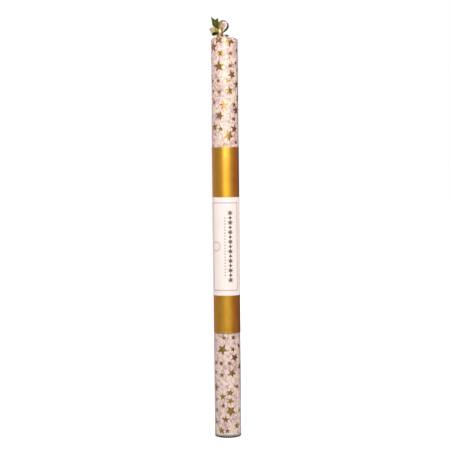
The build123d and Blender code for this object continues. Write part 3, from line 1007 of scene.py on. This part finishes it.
parts = new_node(printing, "ShaderNodeSeparateXYZ", Vector=place)
across = calculate(printing, "DIVIDE", parts.outputs["X"], given["Sheet Width"])
up = calculate(printing, "DIVIDE", parts.outputs["Y"], given["Sheet Length"])
on_map = new_node(printing, "ShaderNodeCombineXYZ", X=across, Y=up)
sheet_info = new_node(printing, "GeometryNodeObjectInfo", Object=given["Sheet"])
flat_map = attribute_of(printing, "Sheet", "FLOAT_VECTOR")


def sampled_from_sheet(value):
    """What a field of the sheet is, at each corner's place on the map."""
    made = new_node(printing, "GeometryNodeSampleUVSurface", {"data_type": "FLOAT_VECTOR"}, Value=value)
    set_inputs(printing, made, Mesh=sheet_info.outputs["Geometry"])
    return set_inputs(printing, made, UV_Map=flat_map, Sample_UV=on_map.outputs[0]).outputs["Value"]


sheet_face = printing.nodes.new("GeometryNodeInputNormal").outputs["Normal"]
above_sheet = vector_step(printing, "SCALE", sampled_from_sheet(sheet_face), parts.outputs["Z"])
wrapped = vector_step(printing, "ADD", sampled_from_sheet(place), above_sheet)
laid = new_node(printing, "GeometryNodeSetPosition", Geometry=real.outputs["Geometry"], Position=wrapped)
inked = new_node(printing, "GeometryNodeSetMaterial", Geometry=laid.outputs["Geometry"])
set_inputs(printing, inked, Material=given["Material"])
set_inputs(printing, result, Geometry=inked.outputs["Geometry"])
print(f"printing tree: {len(printing.nodes)} nodes in all")

# %% [markdown]
# A tree runs as a modifier on a mesh of bare points. Its inputs are set by their identifiers, because two inputs
# may share a name, and the result is kept as a plain mesh with no modifier on it.

# %% Helpers that run a tree
FOIL_DEPTH = 0.10 * MM


def run_tree(name, mesh, tree, values):
    """A Geometry Nodes tree run on a mesh, and the result as a plain mesh."""
    source = bpy.data.objects.new(name + "_source", mesh)
    scene.collection.objects.link(source)
    runner = source.modifiers.new("Nodes", "NODES")
    runner.node_group = tree
    names = {item.name: item.identifier for item in tree.interface.items_tree if item.in_out == "INPUT"}
    for socket, value in values.items():
        runner[names[socket]] = value
    return plain_copy(name, source)


def print_marks(name, marks, sheet, size, rays, waist, material):
    """Marks of (across, up, radius, turn) on a sheet of that flat size, as one plain mesh."""
    mesh = bpy.data.meshes.new(name + "_points")
    mesh.from_pydata([(x, y, 0) for x, y, _, _ in marks], [], [])
    for attribute, column in (("size", 2), ("turn", 3)):
        values = mesh.attributes.new(attribute, "FLOAT", "POINT")
        values.data.foreach_set("value", [mark[column] for mark in marks])
    target = bpy.data.objects.new(name + "_target", sheet)
    scene.collection.objects.link(target)
    settings = {"Rays": rays, "Waist": waist, "Depth": FOIL_DEPTH, "Sheet": target, "Material": material}
    settings["Sheet Width"], settings["Sheet Length"] = size
    made = run_tree(name, mesh, printing, settings)
    bpy.data.objects.remove(target)
    return made


print("helpers ready")

# %% [markdown]
# ## Stars
# The front of the paper shows in the photograph above and below the wraps, so those stars are listed in the
# picture's pixels, each with the way one of its tips points. A ray from the camera carries a pixel to the
# wrapped paper, and the paper's map carries it on to the flat sheet, so each star lies on the paper from any
# side. The formula of a cylinder would do for the roll, but not for the shoulder.

# %% Place the stars that show
LARGE, MEDIUM, MIDDLING, SMALL = 6.0 * MM, 4.7 * MM, 3.9 * MM, 2.8 * MM
UP, DOWN, RIGHT = 90, -90, 0
STAR_TILT = 12
STAR_SEED = 12
seen_stars = [
    (LARGE, UP, [(218.9, 39.0), (213.4, 47.3), (218.9, 66.3)]),
    (LARGE, RIGHT, [(228.6, 135.8), (222.5, 349.7)]),
    (LARGE, DOWN, [(229.6, 40.7), (230.9, 411.2)]),
    (MEDIUM, UP, [(236.1, 84.4), (229.3, 90.4), (223.9, 105.4), (235.8, 110.4), (214.6, 127.0)]),
    (MEDIUM, UP, [(234.2, 128.9)]),
    (MEDIUM, RIGHT, [(219.6, 115.8), (231.9, 373.1), (216.4, 387.0)]),
    (MEDIUM, DOWN, [(231.8, 74.8), (234.7, 357.5)]),
    (MIDDLING, UP, [(230.3, 392.8), (222.8, 396.8), (225.9, 419.6), (236.9, 425.6), (221.6, 430.6)]),
    (MIDDLING, RIGHT, [(239.4, 366.0), (230.3, 401.2), (216.8, 421.5), (220.8, 53.2)]),
    (SMALL, UP, [(230.5, 53.2), (236.2, 50.4), (230.2, 65.7), (235.4, 63.2), (218.3, 80.7)]),
    (SMALL, UP, [(227.4, 80.7), (213.0, 81.0), (219.2, 91.9), (213.4, 91.3), (214.4, 102.3)]),
    (SMALL, UP, [(234.1, 104.8), (233.6, 118.9), (220.5, 128.9), (235.6, 142.3), (224.6, 144.8)]),
    (SMALL, UP, [(223.8, 337.8), (233.1, 337.4), (238.6, 345.6), (232.8, 349.4), (216.2, 362.2)]),
    (SMALL, UP, [(221.3, 363.4), (229.7, 363.4), (222.2, 375.0), (216.3, 371.9), (236.9, 386.4)]),
    (SMALL, UP, [(216.8, 399.3), (223.3, 405.9), (217.4, 409.9), (239.2, 409.9), (227.5, 431.0)]),
    (SMALL, DOWN, [(216.3, 36.8), (222.6, 36.5)]),
]
dice = random.Random(STAR_SEED)
star_sheet.calc_loop_triangles()
sheet_corners = [vertex.co for vertex in star_sheet.vertices]
sheet_finder = BVHTree.FromPolygons(sheet_corners, [tuple(t.vertices) for t in star_sheet.loop_triangles])


def ray_through(x, y):
    """The way that the camera looks through a pixel of the picture."""
    return view_turn @ Vector(((x - HALF_FRAME) / focal_pixels, (HALF_FRAME - y) / focal_pixels, -1))


def sheet_place(x, y):
    """The place on the flat sheet, in metres, that a pixel of the picture shows."""
    hit, _, number, _ = sheet_finder.ray_cast(CAMERA_EYE, ray_through(x, y))
    triangle = star_sheet.loop_triangles[number]
    flat = [Vector((*star_sheet.uv_layers["Sheet"].data[loop].uv, 0)) for loop in triangle.loops]
    place = barycentric_transform(hit, *(sheet_corners[v] for v in triangle.vertices), *flat)
    return place.x * sheet_width, place.y * sheet_length


marks = []
for radius, tip, places in seen_stars:
    for x, y in places:
        turn = math.radians(tip + dice.uniform(-STAR_TILT, STAR_TILT))
        marks.append((*sheet_place(x, y), radius, turn))
seen = len(marks)
print(f"stars: {seen} placed by eye")

# %% [markdown]
# The rest of the sheet is filled by throwing stars at random with a fixed seed and keeping those with enough
# room, which gives the same scatter on every run. Distribute Points on Faces could throw them too, but it keeps
# one distance between all points, and here a large star needs more room than a small one.

# %% Scatter the other stars and print them
STAR_WAIST = 0.42
STAR_RAYS = 5
STAR_GAP = 0.8 * MM
STAR_EDGE = 5.0 * MM
STAR_TRIES = 5200
SEEN_BEARING = math.radians(75)
hidden_low, hidden_high = band_low.z - paper_foot, band_high.z - paper_foot

for _ in range(STAR_TRIES):
    radius = dice.choice((LARGE, MEDIUM, MEDIUM, MIDDLING, SMALL, SMALL, SMALL))
    across = dice.uniform(STAR_EDGE, sheet_width - STAR_EDGE)
    up = dice.uniform(STAR_EDGE, sheet_length - STAR_EDGE)
    turn = math.radians(dice.choice((UP, RIGHT, DOWN)) + dice.uniform(-STAR_TILT, STAR_TILT))
    bearing = across / roll_radius - sheet_turn / 2
    in_view = abs(bearing) < SEEN_BEARING and up < shoulder - paper_foot
    if in_view and not hidden_low < up < hidden_high:
        continue
    if all(math.hypot(across - x, up - y) - radius - other > STAR_GAP for x, y, other, _ in marks):
        marks.append((across, up, radius, turn))

sheet_size = (sheet_width, sheet_length)
star_mesh = print_marks("foil_stars", marks, star_sheet, sheet_size, STAR_RAYS, STAR_WAIST, star_gold)
add_piece("foil_stars", star_mesh, "bundle", "gold_foil")
print(f"stars: {len(marks) - seen} scattered, {len(star_mesh.polygons)} faces in all")

# %% [markdown]
# ## Label print
# The label has a ruled frame round its front. A rule is a very thin bar of ink that follows the curve of the
# label. A line drawn in the shader would lose its sharp corners close up, so the four rules are solid bars that
# meet at the corners.

# %% Rule the frame
RULE_WIDTH = 0.8 * MM
RULE_DEPTH = 0.03 * MM
RULE_LEFT, RULE_RIGHT = math.radians(-64), math.radians(52)
RULE_TOP, RULE_BOTTOM = label_high.z - 5.3 * MM, label_low.z + 4.9 * MM
LONG_STEPS, SHORT_STEPS = 40, 2

half_rule = RULE_WIDTH / 2
half_turn = half_rule / label_radius
rule_points, rule_faces = [], []


def rule_bar(start, end, bottom, top, steps):
    """A thin closed bar of ink between two bearings and two heights, added to the rules."""
    first = len(rule_points)
    for k in range(steps + 1):
        bearing = start + (end - start) * k / steps
        for depth, height in ((0, bottom), (RULE_DEPTH, bottom), (RULE_DEPTH, top), (0, top)):
            rule_points.append(round_axis(label_radius + depth, bearing, height))
    for here in range(first, first + 4 * steps, 4):
        for j in range(4):
            i = (j + 1) % 4
            rule_faces.append((here + j, here + 4 + j, here + 4 + i, here + i))
    last = len(rule_points) - 1
    rule_faces.extend([(first, first + 1, first + 2, first + 3), (last, last - 1, last - 2, last - 3)])


for height in (RULE_TOP, RULE_BOTTOM):
    ends = RULE_LEFT - half_turn, RULE_RIGHT + half_turn
    rule_bar(*ends, height - half_rule, height + half_rule, LONG_STEPS)
for bearing in (RULE_LEFT, RULE_RIGHT):
    ends = bearing - half_turn, bearing + half_turn
    rule_bar(*ends, RULE_BOTTOM + half_rule, RULE_TOP - half_rule, SHORT_STEPS)
rule_mesh = closed_mesh("label_rules", rule_points, rule_faces, frame_ink)
add_piece("label_rules", rule_mesh, "tube", "label_paper")
print(f"label frame: {len(rule_mesh.polygons)} faces")

# %% [markdown]
# Inside the frame is a plain ornament: a column of sparks and diamonds, a line of dots beside it and a pale ring
# of petals. The same printing tree makes them all, with other numbers of rays and other waists: a spark has
# eight rays, a diamond and a petal four, and a dot is a star of nine rays that is hardly drawn in.

# %% Print the ornament
COLUMN_BEARING, DOTS_BEARING, RING_BEARING = math.radians(17.5), math.radians(-5), math.radians(-46)
COLUMN_COUNT, COLUMN_PITCH = 15, 4.6 * MM
SPARK_RADIUS, DIAMOND_RADIUS = 3.2 * MM, 2.2 * MM
DOTS_COUNT, DOTS_PITCH, DOT_RADIUS = 20, 2.9 * MM, 0.8 * MM
RING_RADIUS, RING_PETALS, PETAL_RADIUS = 4.4 * MM, 14, 1.5 * MM

label_size = (2 * math.pi * label_radius, label_height)


def label_across(bearing):
    """How far across the flat label a bearing is."""
    return label_size[0] / 2 + bearing * label_radius


def label_column(bearing, count, pitch, radii, turn):
    """A column of marks up the label, centred on its height, with radii taken in turn."""
    first = label_height / 2 - pitch * (count - 1) / 2
    return [(label_across(bearing), first + pitch * k, radii[k % len(radii)], turn) for k in range(count)]


column_radii = (SPARK_RADIUS, DIAMOND_RADIUS)
column = label_column(COLUMN_BEARING, COLUMN_COUNT, COLUMN_PITCH, column_radii, math.pi / 2)
dots = label_column(DOTS_BEARING, DOTS_COUNT, DOTS_PITCH, (DOT_RADIUS,), 0)
petals = []
for k in range(RING_PETALS):
    turn = 2 * math.pi * k / RING_PETALS
    across, up = RING_RADIUS * math.cos(turn), RING_RADIUS * math.sin(turn)
    petals.append((label_across(RING_BEARING) + across, label_height / 2 + up, PETAL_RADIUS, turn))

# name, marks, rays, waist, ink
ornament = [
    ("label_sparks", column[::2], 8, 0.40, label_ink),
    ("label_diamonds", column[1::2], 4, 0.5, label_ink),
    ("label_dots", dots, 9, 0.9, frame_ink),
    ("label_rosette", petals, 4, 0.45, pale_ink),
]
for name, places, rays, waist, colour in ornament:
    printed = print_marks(name, places, label_sheet, label_size, rays, waist, colour)
    add_piece(name, printed, "tube", "label_paper")
print(f"label print: {COLUMN_COUNT} sparks and diamonds, {DOTS_COUNT} dots, {RING_PETALS} petals")

# %% [markdown]
# ## Bow
# The bow is one ribbon, tied round the neck of the paper. Each stretch of it is a strip that follows a path and
# widens from the knot, where it is gathered, to its full width. A curve with a flat bevel could follow the path,
# but it can't be gathered or cupped, so a strip is a sheet whose rows of points are worked out in code. Its face
# is bright and its back dull, as on a ribbon that is woven with metal on one side, and the back's near-black
# olive is also painted shade.

# %% Measure the ribbon and the knot
RIBBON_WIDTH = 6.35 * MM
RIBBON_WALL = 0.3 * MM
RIBBON_ROOT = 2.0 * MM
RIBBON_SPREAD = 5.5 * MM
STRIP_COLUMNS = 14
KNOT_DEPTH = 3.6 * MM

knot_low, knot_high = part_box("bow_knot")
knot_size = Vector((knot_high.x - knot_low.x, KNOT_DEPTH, knot_high.z - knot_low.z))
knot_middle = knot_low + knot_size / 2
strip_places = [2 * i / STRIP_COLUMNS - 1 for i in range(STRIP_COLUMNS + 1)]


def half_width(distance):
    """Half of the ribbon's width at a distance from the knot."""
    return (RIBBON_ROOT + (RIBBON_WIDTH - RIBBON_ROOT) * ease(distance / RIBBON_SPREAD)) / 2


def strip_piece(stretch, rows):
    """Rows of points across a stretch of ribbon, as a piece with a wall to both sides of them."""
    name = "ribbon_" + stretch
    tall = len(rows) - 1
    flat = [(i / STRIP_COLUMNS, j / tall) for j in range(tall + 1) for i in range(STRIP_COLUMNS + 1)]
    sheet = grid_sheet(name + "_sheet", rows, flat)
    mesh = walled(name, sheet, RIBBON_WALL, ribbon_gold, ribbon_back_and_shade, offset=0.0)
    add_piece(name, mesh, "bundle", "gold_ribbon", "bow_" + stretch)


print(f"ribbon {RIBBON_WIDTH / MM:.2f} mm wide, knot {knot_size.x / MM:.1f} by {knot_size.z / MM:.1f} mm")

# %% [markdown]
# A loop is a drop: out from the knot, round and back, then turned and rolled into place. Near the knot it is
# cupped and rippled, because a ribbon that has been tied and packed isn't flat. A loop could also be drawn as a
# curve by hand, but from a length and a breadth both loops come out of one function. The right one shows the
# bright face inside, and the left one outside.

# %% Tie the loops
STRAIGHT_STEPS, ROUND_STEPS = 10, 30
LOOP_SOFTENING = 6
ROOT_CUP, FREE_CUP = 0.55, 0.12
ROOT_RIPPLE, RIPPLE_TURNS = 0.10 * MM, 9
RIGHT_ROOT_SHIFT = Vector((1.4 * MM, 0, -1.5 * MM))


def loop_outline(length, breadth):
    """A drop: out from the knot, round and back, as points of (along, across) in the loop's plane."""
    radius = breadth / 2
    middle = length - radius
    lean = math.asin(radius / middle)
    step = math.sqrt(middle**2 - radius**2) / STRAIGHT_STEPS
    straight = [(step * k * math.cos(lean), step * k * math.sin(lean)) for k in range(STRAIGHT_STEPS)]
    start = math.pi / 2 + lean
    bends = [start - 2 * start * k / ROUND_STEPS for k in range(ROUND_STEPS + 1)]
    round_end = [(middle + radius * math.cos(bend), radius * math.sin(bend)) for bend in bends]
    points = straight + round_end + [(x, -y) for x, y in reversed(straight)]
    for _ in range(LOOP_SOFTENING):
        inner = [
            tuple((before[n] + 2 * here[n] + after[n]) / 4 for n in (0, 1))
            for before, here, after in zip(points, points[1:], points[2:])
        ]
        points = [points[0], *inner, points[-1]]
    return points


def bow_loop(stretch, root_place, length, breadth, angle, turn, roll, skew, bright_inside=False):
    """A loop from its root in the knot: angle up from the right, turned about the upright, then rolled."""
    rise, yaw = math.radians(angle), math.radians(turn)
    along = Vector((math.cos(rise) * math.cos(yaw), math.cos(rise) * math.sin(yaw), math.sin(rise)))
    across = Quaternion(along, math.radians(roll)) @ Vector((math.sin(yaw), -math.cos(yaw), 0))
    upward = across.cross(along)
    outline = loop_outline(length, breadth)
    rows = []
    for k, (far, side) in enumerate(outline):
        before, after = outline[max(k - 1, 0)], outline[min(k + 1, len(outline) - 1)]
        step = Vector((after[0] - before[0], after[1] - before[1])).normalized()
        face = upward * step.x - along * step.y
        width = half_width(far)
        root = 1 - ease(far / RIBBON_SPREAD)
        bent = skew * width * math.sin(math.pi * k / (len(outline) - 1))
        middle = root_place + along * far + upward * side
        row = []
        for v in strip_places:
            ripple = ROOT_RIPPLE * math.cos(RIPPLE_TURNS * v) * root
            cup = (ROOT_CUP * root + FREE_CUP) * width * v * v + ripple
            row.append(middle + across * (v * width) + face * cup + along * (bent * v))
        rows.append(row[::-1] if bright_inside else row)
    strip_piece(stretch, rows)


bow_loop(
    "loop_right", knot_middle + RIGHT_ROOT_SHIFT, length=11.4 * MM, breadth=8.4 * MM,
    angle=72, turn=-14, roll=0, skew=0.10, bright_inside=True,
)
bow_loop(
    "loop_left", knot_middle, length=8.6 * MM, breadth=4.2 * MM,
    angle=183, turn=16, roll=-52, skew=-0.15,
)
print(f"bow: two loops of {STRAIGHT_STEPS * 2 + ROUND_STEPS + 1} rows")

# %% [markdown]
# The two tails are strips with one free end. The upper one stands up and bends back, creased along its middle,
# and its end is cut to a swallow's tail. The lower one lies to the right over the paper's shoulder, curls a
# little and is cut on the slant. A cut could be made with a Boolean, but the rows of a strip can simply end at
# the cut.

# %% Cut the tails
TAIL_ROWS = 30
KNOT_ROUND = 1.3 * MM
TAIL_LONG_SIDE, TAIL_SHORT_SIDE, TAIL_NOTCH = 13.6 * MM, 11.2 * MM, 9.8 * MM
TAIL_ANGLE = math.radians(98)
TAIL_SHIFT = 1.5 * MM
TAIL_BEND = 26 * MM
TAIL_BEND_START = 3.0 * MM
TAIL_CREASE = 0.8 * MM
TAIL_ROOT = 0.5 * MM
LOWER_LENGTH, LOWER_SLANT = 7.6 * MM, 1.2 * MM
LOWER_BEND = 20 * MM
LOWER_CURL = 0.3 * MM
LOWER_TILT = 0.40
LOWER_DROP = 0.3 * MM

upper_root = Vector((knot_low.x + TAIL_ROOT, knot_middle.y, knot_high.z - KNOT_ROUND))
upper_along = Vector((math.cos(TAIL_ANGLE), 0, math.sin(TAIL_ANGLE)))
upper_left = Vector((-math.sin(TAIL_ANGLE), 0, math.cos(TAIL_ANGLE)))
lower_start = knot_high.x - KNOT_ROUND
lower_top = knot_low.z - LOWER_DROP


def upper_tail(v, share):
    """A point of the upper tail: v from -1 to 1 across it, share from the knot to the cut end."""
    tip = TAIL_LONG_SIDE if v > 0 else TAIL_SHORT_SIDE
    distance = (TAIL_NOTCH + (tip - TAIL_NOTCH) * abs(v)) * share
    spread = ease(distance / RIBBON_SPREAD)
    side = v * half_width(distance) + TAIL_SHIFT * spread
    point = upper_root + upper_along * distance + upper_left * side
    above = point.z - upper_root.z - TAIL_BEND_START
    point.y += TAIL_BEND - math.sqrt(TAIL_BEND**2 - above**2) - TAIL_CREASE * (1 - abs(v)) * spread
    return point


def lower_tail(v, share):
    """A point of the lower tail, in the same way."""
    distance = (LOWER_LENGTH - LOWER_SLANT * (1 - v) / 2) * share
    x = lower_start + distance
    z = lower_top - LOWER_BEND + math.sqrt(LOWER_BEND**2 - (x - knot_middle.x) ** 2)
    side = v * half_width(distance)
    curl = (LOWER_CURL * v * v + LOWER_TILT * side) * ease(distance / LOWER_LENGTH)
    return x, knot_middle.y + side, z - RIBBON_WALL / 2 + curl


for stretch, tail in (("tail_upper", upper_tail), ("tail_lower", lower_tail)):
    strip_piece(stretch, [[tail(v, j / TAIL_ROWS) for v in strip_places] for j in range(TAIL_ROWS + 1)])
print(f"bow: two tails, {TAIL_LONG_SIDE / MM:.1f} and {LOWER_LENGTH / MM:.1f} mm long")

# %% [markdown]
# The knot is the ribbon's last turn over the front, drawn in to a pillow with folds running up and down. It is a
# ball whose sines are raised to powers under one, which fills it out towards a box with soft corners, and a wave
# across its front makes the folds. Sculpting could do this, but a formula keeps it exactly in the CAD knot.

# %% Draw the knot
KNOT_RINGS, KNOT_SIDES = 40, 56
KNOT_WELD = 1e-6
KNOT_FOLDS = 3
KNOT_FOLD_DEPTH = 0.07
KNOT_FOLD_SLANT = 0.13
KNOT_WAIST = 0.82
KNOT_RING_POWER, KNOT_HEIGHT_POWER, KNOT_SIDE_POWER = 0.6, 0.7, 0.75


def signed_power(value, power):
    """A power that keeps the sign."""
    return math.copysign(abs(value) ** power, value)


def knot_point(rise, bearing):
    """A point of the knot, narrower at its middle than at its two ends."""
    ring = signed_power(math.cos(rise), KNOT_RING_POWER)
    z = signed_power(math.sin(rise), KNOT_HEIGHT_POWER)
    x = ring * signed_power(math.sin(bearing), KNOT_SIDE_POWER)
    y = -ring * signed_power(math.cos(bearing), KNOT_SIDE_POWER)
    waist = KNOT_WAIST + (1 - KNOT_WAIST) * z * z
    wave = 0.5 - 0.5 * math.cos(2 * math.pi * KNOT_FOLDS * (x + KNOT_FOLD_SLANT * z))
    folds = 1 - KNOT_FOLD_DEPTH * wave * ring
    half = knot_size / 2
    return knot_middle + Vector((x * half.x * waist, y * half.y * folds, z * half.z))


knot_points, knot_faces = [], []
for j in range(KNOT_RINGS + 1):
    rise = math.pi * (j / KNOT_RINGS - 0.5)
    knot_points += [knot_point(rise, 2 * math.pi * i / KNOT_SIDES) for i in range(KNOT_SIDES)]
for j in range(KNOT_RINGS):
    low, high = j * KNOT_SIDES, (j + 1) * KNOT_SIDES
    for i in range(KNOT_SIDES):
        k = (i + 1) % KNOT_SIDES
        knot_faces.append((low + i, low + k, high + k, high + i))
knot_mesh = closed_mesh("ribbon_knot", knot_points, knot_faces, ribbon_gold, KNOT_WELD)
add_piece("ribbon_knot", knot_mesh, "bundle", "gold_ribbon", "bow_knot")
print(f"bow: a knot of {len(knot_mesh.polygons)} faces")

# %% [markdown]
# Round the neck the ribbon winds twice, squeezed to half its width. A stack of rings could stand for the turns,
# but a winding follows a path, so Geometry Nodes sweep a section along a spiral. The section is a circle that is
# squashed to the ribbon's wall and height and rippled across, because squeezed ribbon folds lengthwise.

# %% Sweep a winding
TIE_STEPS, TIE_CORNERS = 72, 40
TIE_BULGE = 0.3

winding, given, result = geometry_tree(
    "wound ribbon", Turns="Float", Inner_Radius="Float", Outer_Radius="Float", Height="Float",
    Wall="Float", Folds="Float", Middle="Vector", Material="Material",
)
spiral = new_node(winding, "GeometryNodeCurveSpiral", Resolution=TIE_STEPS, Height=0.0)
set_inputs(winding, spiral, Rotations=given["Turns"])
set_inputs(winding, spiral, Start_Radius=given["Inner Radius"], End_Radius=given["Outer Radius"])
section = new_node(winding, "GeometryNodeCurvePrimitiveCircle", Resolution=TIE_CORNERS, Radius=1.0)
corner = winding.nodes.new("GeometryNodeInputPosition")
split = new_node(winding, "ShaderNodeSeparateXYZ", Vector=corner.outputs[0])
fold = calculate(winding, "MULTIPLY", split.outputs["Y"], given["Folds"])
ripple = calculate(winding, "COSINE", calculate(winding, "MULTIPLY", fold, math.pi))
bulge = calculate(winding, "MULTIPLY", ripple, calculate(winding, "MULTIPLY", given["Wall"], TIE_BULGE))
half_wall = calculate(winding, "MULTIPLY", given["Wall"], 0.5)
flat_wall = calculate(winding, "MULTIPLY", split.outputs["X"], half_wall)
half_height = calculate(winding, "MULTIPLY", given["Height"], 0.5)
shaped = new_node(winding, "ShaderNodeCombineXYZ", X=calculate(winding, "ADD", flat_wall, bulge))
set_inputs(winding, shaped, Y=calculate(winding, "MULTIPLY", split.outputs["Y"], half_height))
folded = new_node(winding, "GeometryNodeSetPosition", Geometry=section.outputs["Curve"])
set_inputs(winding, folded, Position=shaped.outputs[0])
swept = new_node(winding, "GeometryNodeCurveToMesh", Curve=spiral.outputs["Curve"], Fill_Caps=True)
set_inputs(winding, swept, Profile_Curve=folded.outputs["Geometry"])
moved = new_node(winding, "GeometryNodeSetPosition", Geometry=swept.outputs["Mesh"], Offset=given["Middle"])


def end_tree(tree, geometry, given, result):
    """The last steps of a tree: its copies made real, and its material."""
    real = new_node(tree, "GeometryNodeRealizeInstances", Geometry=geometry)
    coloured = new_node(tree, "GeometryNodeSetMaterial", Geometry=real.outputs["Geometry"])
    set_inputs(tree, coloured, Material=given["Material"])
    set_inputs(tree, result, Geometry=coloured.outputs["Geometry"])


end_tree(winding, moved.outputs["Geometry"], given, result)
print(f"winding tree: {len(winding.nodes)} nodes")

# %% [markdown]
# The CAD tie gives the height and the outer radius. The spiral runs through the middle of the ribbon's wall, so
# it ends half a wall inside that radius and starts a whole wall further in.

# %% Wind the tie
TIE_TURNS = 2.2
TIE_FOLDS = 3.0

tie_outer = (tie_high.x - tie_low.x) / 2
tie_settings = {
    "Turns": TIE_TURNS,
    "Inner Radius": tie_outer - 1.5 * RIBBON_WALL,
    "Outer Radius": tie_outer - 0.5 * RIBBON_WALL,
    "Height": tie_high.z - tie_low.z,
    "Wall": RIBBON_WALL,
    "Folds": TIE_FOLDS,
    "Middle": (tie_low + tie_high) / 2,
    "Material": ribbon_gold,
}
tie_mesh = run_tree("ribbon_winding", bpy.data.meshes.new("tie_start"), winding, tie_settings)
add_piece("ribbon_winding", tie_mesh, "bundle", "gold_ribbon", "ribbon_tie")
print(f"bow: a tie of {len(tie_mesh.polygons)} faces")

# %% [markdown]
# ## Sparklers
# A dozen sparklers stand in the roll. Their wires keep the CAD shape, because a straight drawn wire is exactly
# that. The coating is a rough dip: thin where the dip began, full along its length and round over the tip. One
# Geometry Nodes tree takes a cylinder to that profile. It works on a cylinder of unit size, whose height and
# distance from the axis tell each corner where on the dip it belongs.

# %% Shape the dip
COATING_SIDES, COATING_SEGMENTS, TIP_RINGS = 22, 150, 7
TOP_SHARE = 0.9995

dipping, given, result = geometry_tree(
    "dipped coating", Start="Float", End="Float", Radius="Float", Thin_Radius="Float", Taper="Float",
    Lumps="Float", Seed="Float", Place="Vector", Material="Material",
)
blank = new_node(dipping, "GeometryNodeMeshCylinder", Vertices=COATING_SIDES, Radius=1.0, Depth=1.0)
set_inputs(dipping, blank, Side_Segments=COATING_SEGMENTS, Fill_Segments=TIP_RINGS)
corner = dipping.nodes.new("GeometryNodeInputPosition")
split = new_node(dipping, "ShaderNodeSeparateXYZ", Vector=corner.outputs[0])
share = calculate(dipping, "ADD", split.outputs["Z"], 0.5)
straight_end = calculate(dipping, "SUBTRACT", given["End"], given["Radius"])
span = calculate(dipping, "SUBTRACT", straight_end, given["Start"])
side_height = calculate(dipping, "MULTIPLY", share, span)
squares = [calculate(dipping, "POWER", split.outputs[axis], 2.0) for axis in "XY"]
from_axis = calculate(dipping, "SQRT", calculate(dipping, "ADD", *squares))
inward = calculate(dipping, "SUBTRACT", 1.0, calculate(dipping, "MULTIPLY", from_axis, from_axis))
dome = calculate(dipping, "SQRT", calculate(dipping, "MAXIMUM", inward, 0.0))
at_top = calculate(dipping, "GREATER_THAN", share, TOP_SHARE)
dome_share = calculate(dipping, "MULTIPLY", dome, at_top)
dome_height = calculate(dipping, "MULTIPLY", dome_share, given["Radius"])
taper = new_node(dipping, "ShaderNodeMapRange", {"interpolation_type": "SMOOTHSTEP"}, Value=side_height)
set_inputs(dipping, taper, From_Min=0.0, From_Max=given["Taper"])
set_inputs(dipping, taper, To_Min=given["Thin Radius"], To_Max=given["Radius"])
sides = [calculate(dipping, "MULTIPLY", split.outputs[axis], taper.outputs["Result"]) for axis in "XY"]
dipped = new_node(dipping, "ShaderNodeCombineXYZ", X=sides[0], Y=sides[1])
set_inputs(dipping, dipped, Z=calculate(dipping, "ADD", side_height, dome_height))
print(f"dipping tree: the profile in {len(dipping.nodes)} nodes")

# %% [markdown]
# Dried paste is lumpy. A Displace modifier would push the tip out of its place, so noise swells each corner only
# sideways, by a few hundredths of the radius. The seed moves the noise on from one sparkler to the next. Last,
# the dip is lifted to its start on the wire and set over to its sparkler's place.

# %% Roughen and place the dip
LUMP_SCALE = 650.0

seeded = new_node(dipping, "ShaderNodeCombineXYZ", X=given["Seed"], Z=given["Seed"])
lump_place = vector_step(dipping, "ADD", dipped.outputs[0], seeded.outputs[0])
bumps = calculate(dipping, "SUBTRACT", noise_in(dipping, lump_place, LUMP_SCALE), 0.5)
swell = calculate(dipping, "ADD", calculate(dipping, "MULTIPLY", bumps, given["Lumps"]), 1.0)
sideways = new_node(dipping, "ShaderNodeCombineXYZ", X=swell, Y=swell, Z=1.0)
rough = vector_step(dipping, "MULTIPLY", dipped.outputs[0], sideways.outputs[0])
foot = new_node(dipping, "ShaderNodeCombineXYZ", Z=given["Start"])
standing = vector_step(dipping, "ADD", rough, foot.outputs[0])
shaped = new_node(dipping, "GeometryNodeSetPosition", Geometry=blank.outputs["Mesh"])
set_inputs(dipping, shaped, Position=vector_step(dipping, "ADD", standing, given["Place"]))
end_tree(dipping, shaped.outputs["Geometry"], given, result)
print(f"dipping tree: {len(dipping.nodes)} nodes in all")

# %% [markdown]
# The tree runs once for each sparkler, with the sizes of its own CAD coating and its own seed, because each
# sparkler moves by itself and is a piece of its own. Copies of one mesh would be quicker, but their lumps would
# be the same on all twelve. The wires only get their finish.

# %% Dip the sparklers
SPARKLER_COUNT = 12
COATING_TAPER = 9.0 * MM
COATING_LIP = 0.35 * MM
WIRE_RADIUS = 1.0 * MM
LUMPS = 0.085
SEED_STEP = 0.37

for number in range(1, SPARKLER_COUNT + 1):
    low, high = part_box(f"sparkler_coating_{number:02d}")
    settings = {
        "Start": low.z,
        "End": high.z,
        "Radius": (high.x - low.x) / 2,
        "Thin Radius": WIRE_RADIUS + COATING_LIP,
        "Taper": COATING_TAPER,
        "Lumps": LUMPS,
        "Seed": SEED_STEP * number,
        "Place": ((low.x + high.x) / 2, (low.y + high.y) / 2, 0.0),
        "Material": dried_paste,
    }
    name, body = f"coating_{number:02d}", f"sparkler_{number:02d}"
    coating = run_tree(name, bpy.data.meshes.new("coating_start"), dipping, settings)
    add_piece(name, coating, body, "sparkler_coating", f"sparkler_coating_{number:02d}")
    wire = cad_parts[f"sparkler_wire_{number:02d}"]
    wire.data.materials.clear()
    wire.data.materials.append(wire_steel)
print(f"sparklers: {SPARKLER_COUNT}, each coating {len(coating.polygons)} faces")
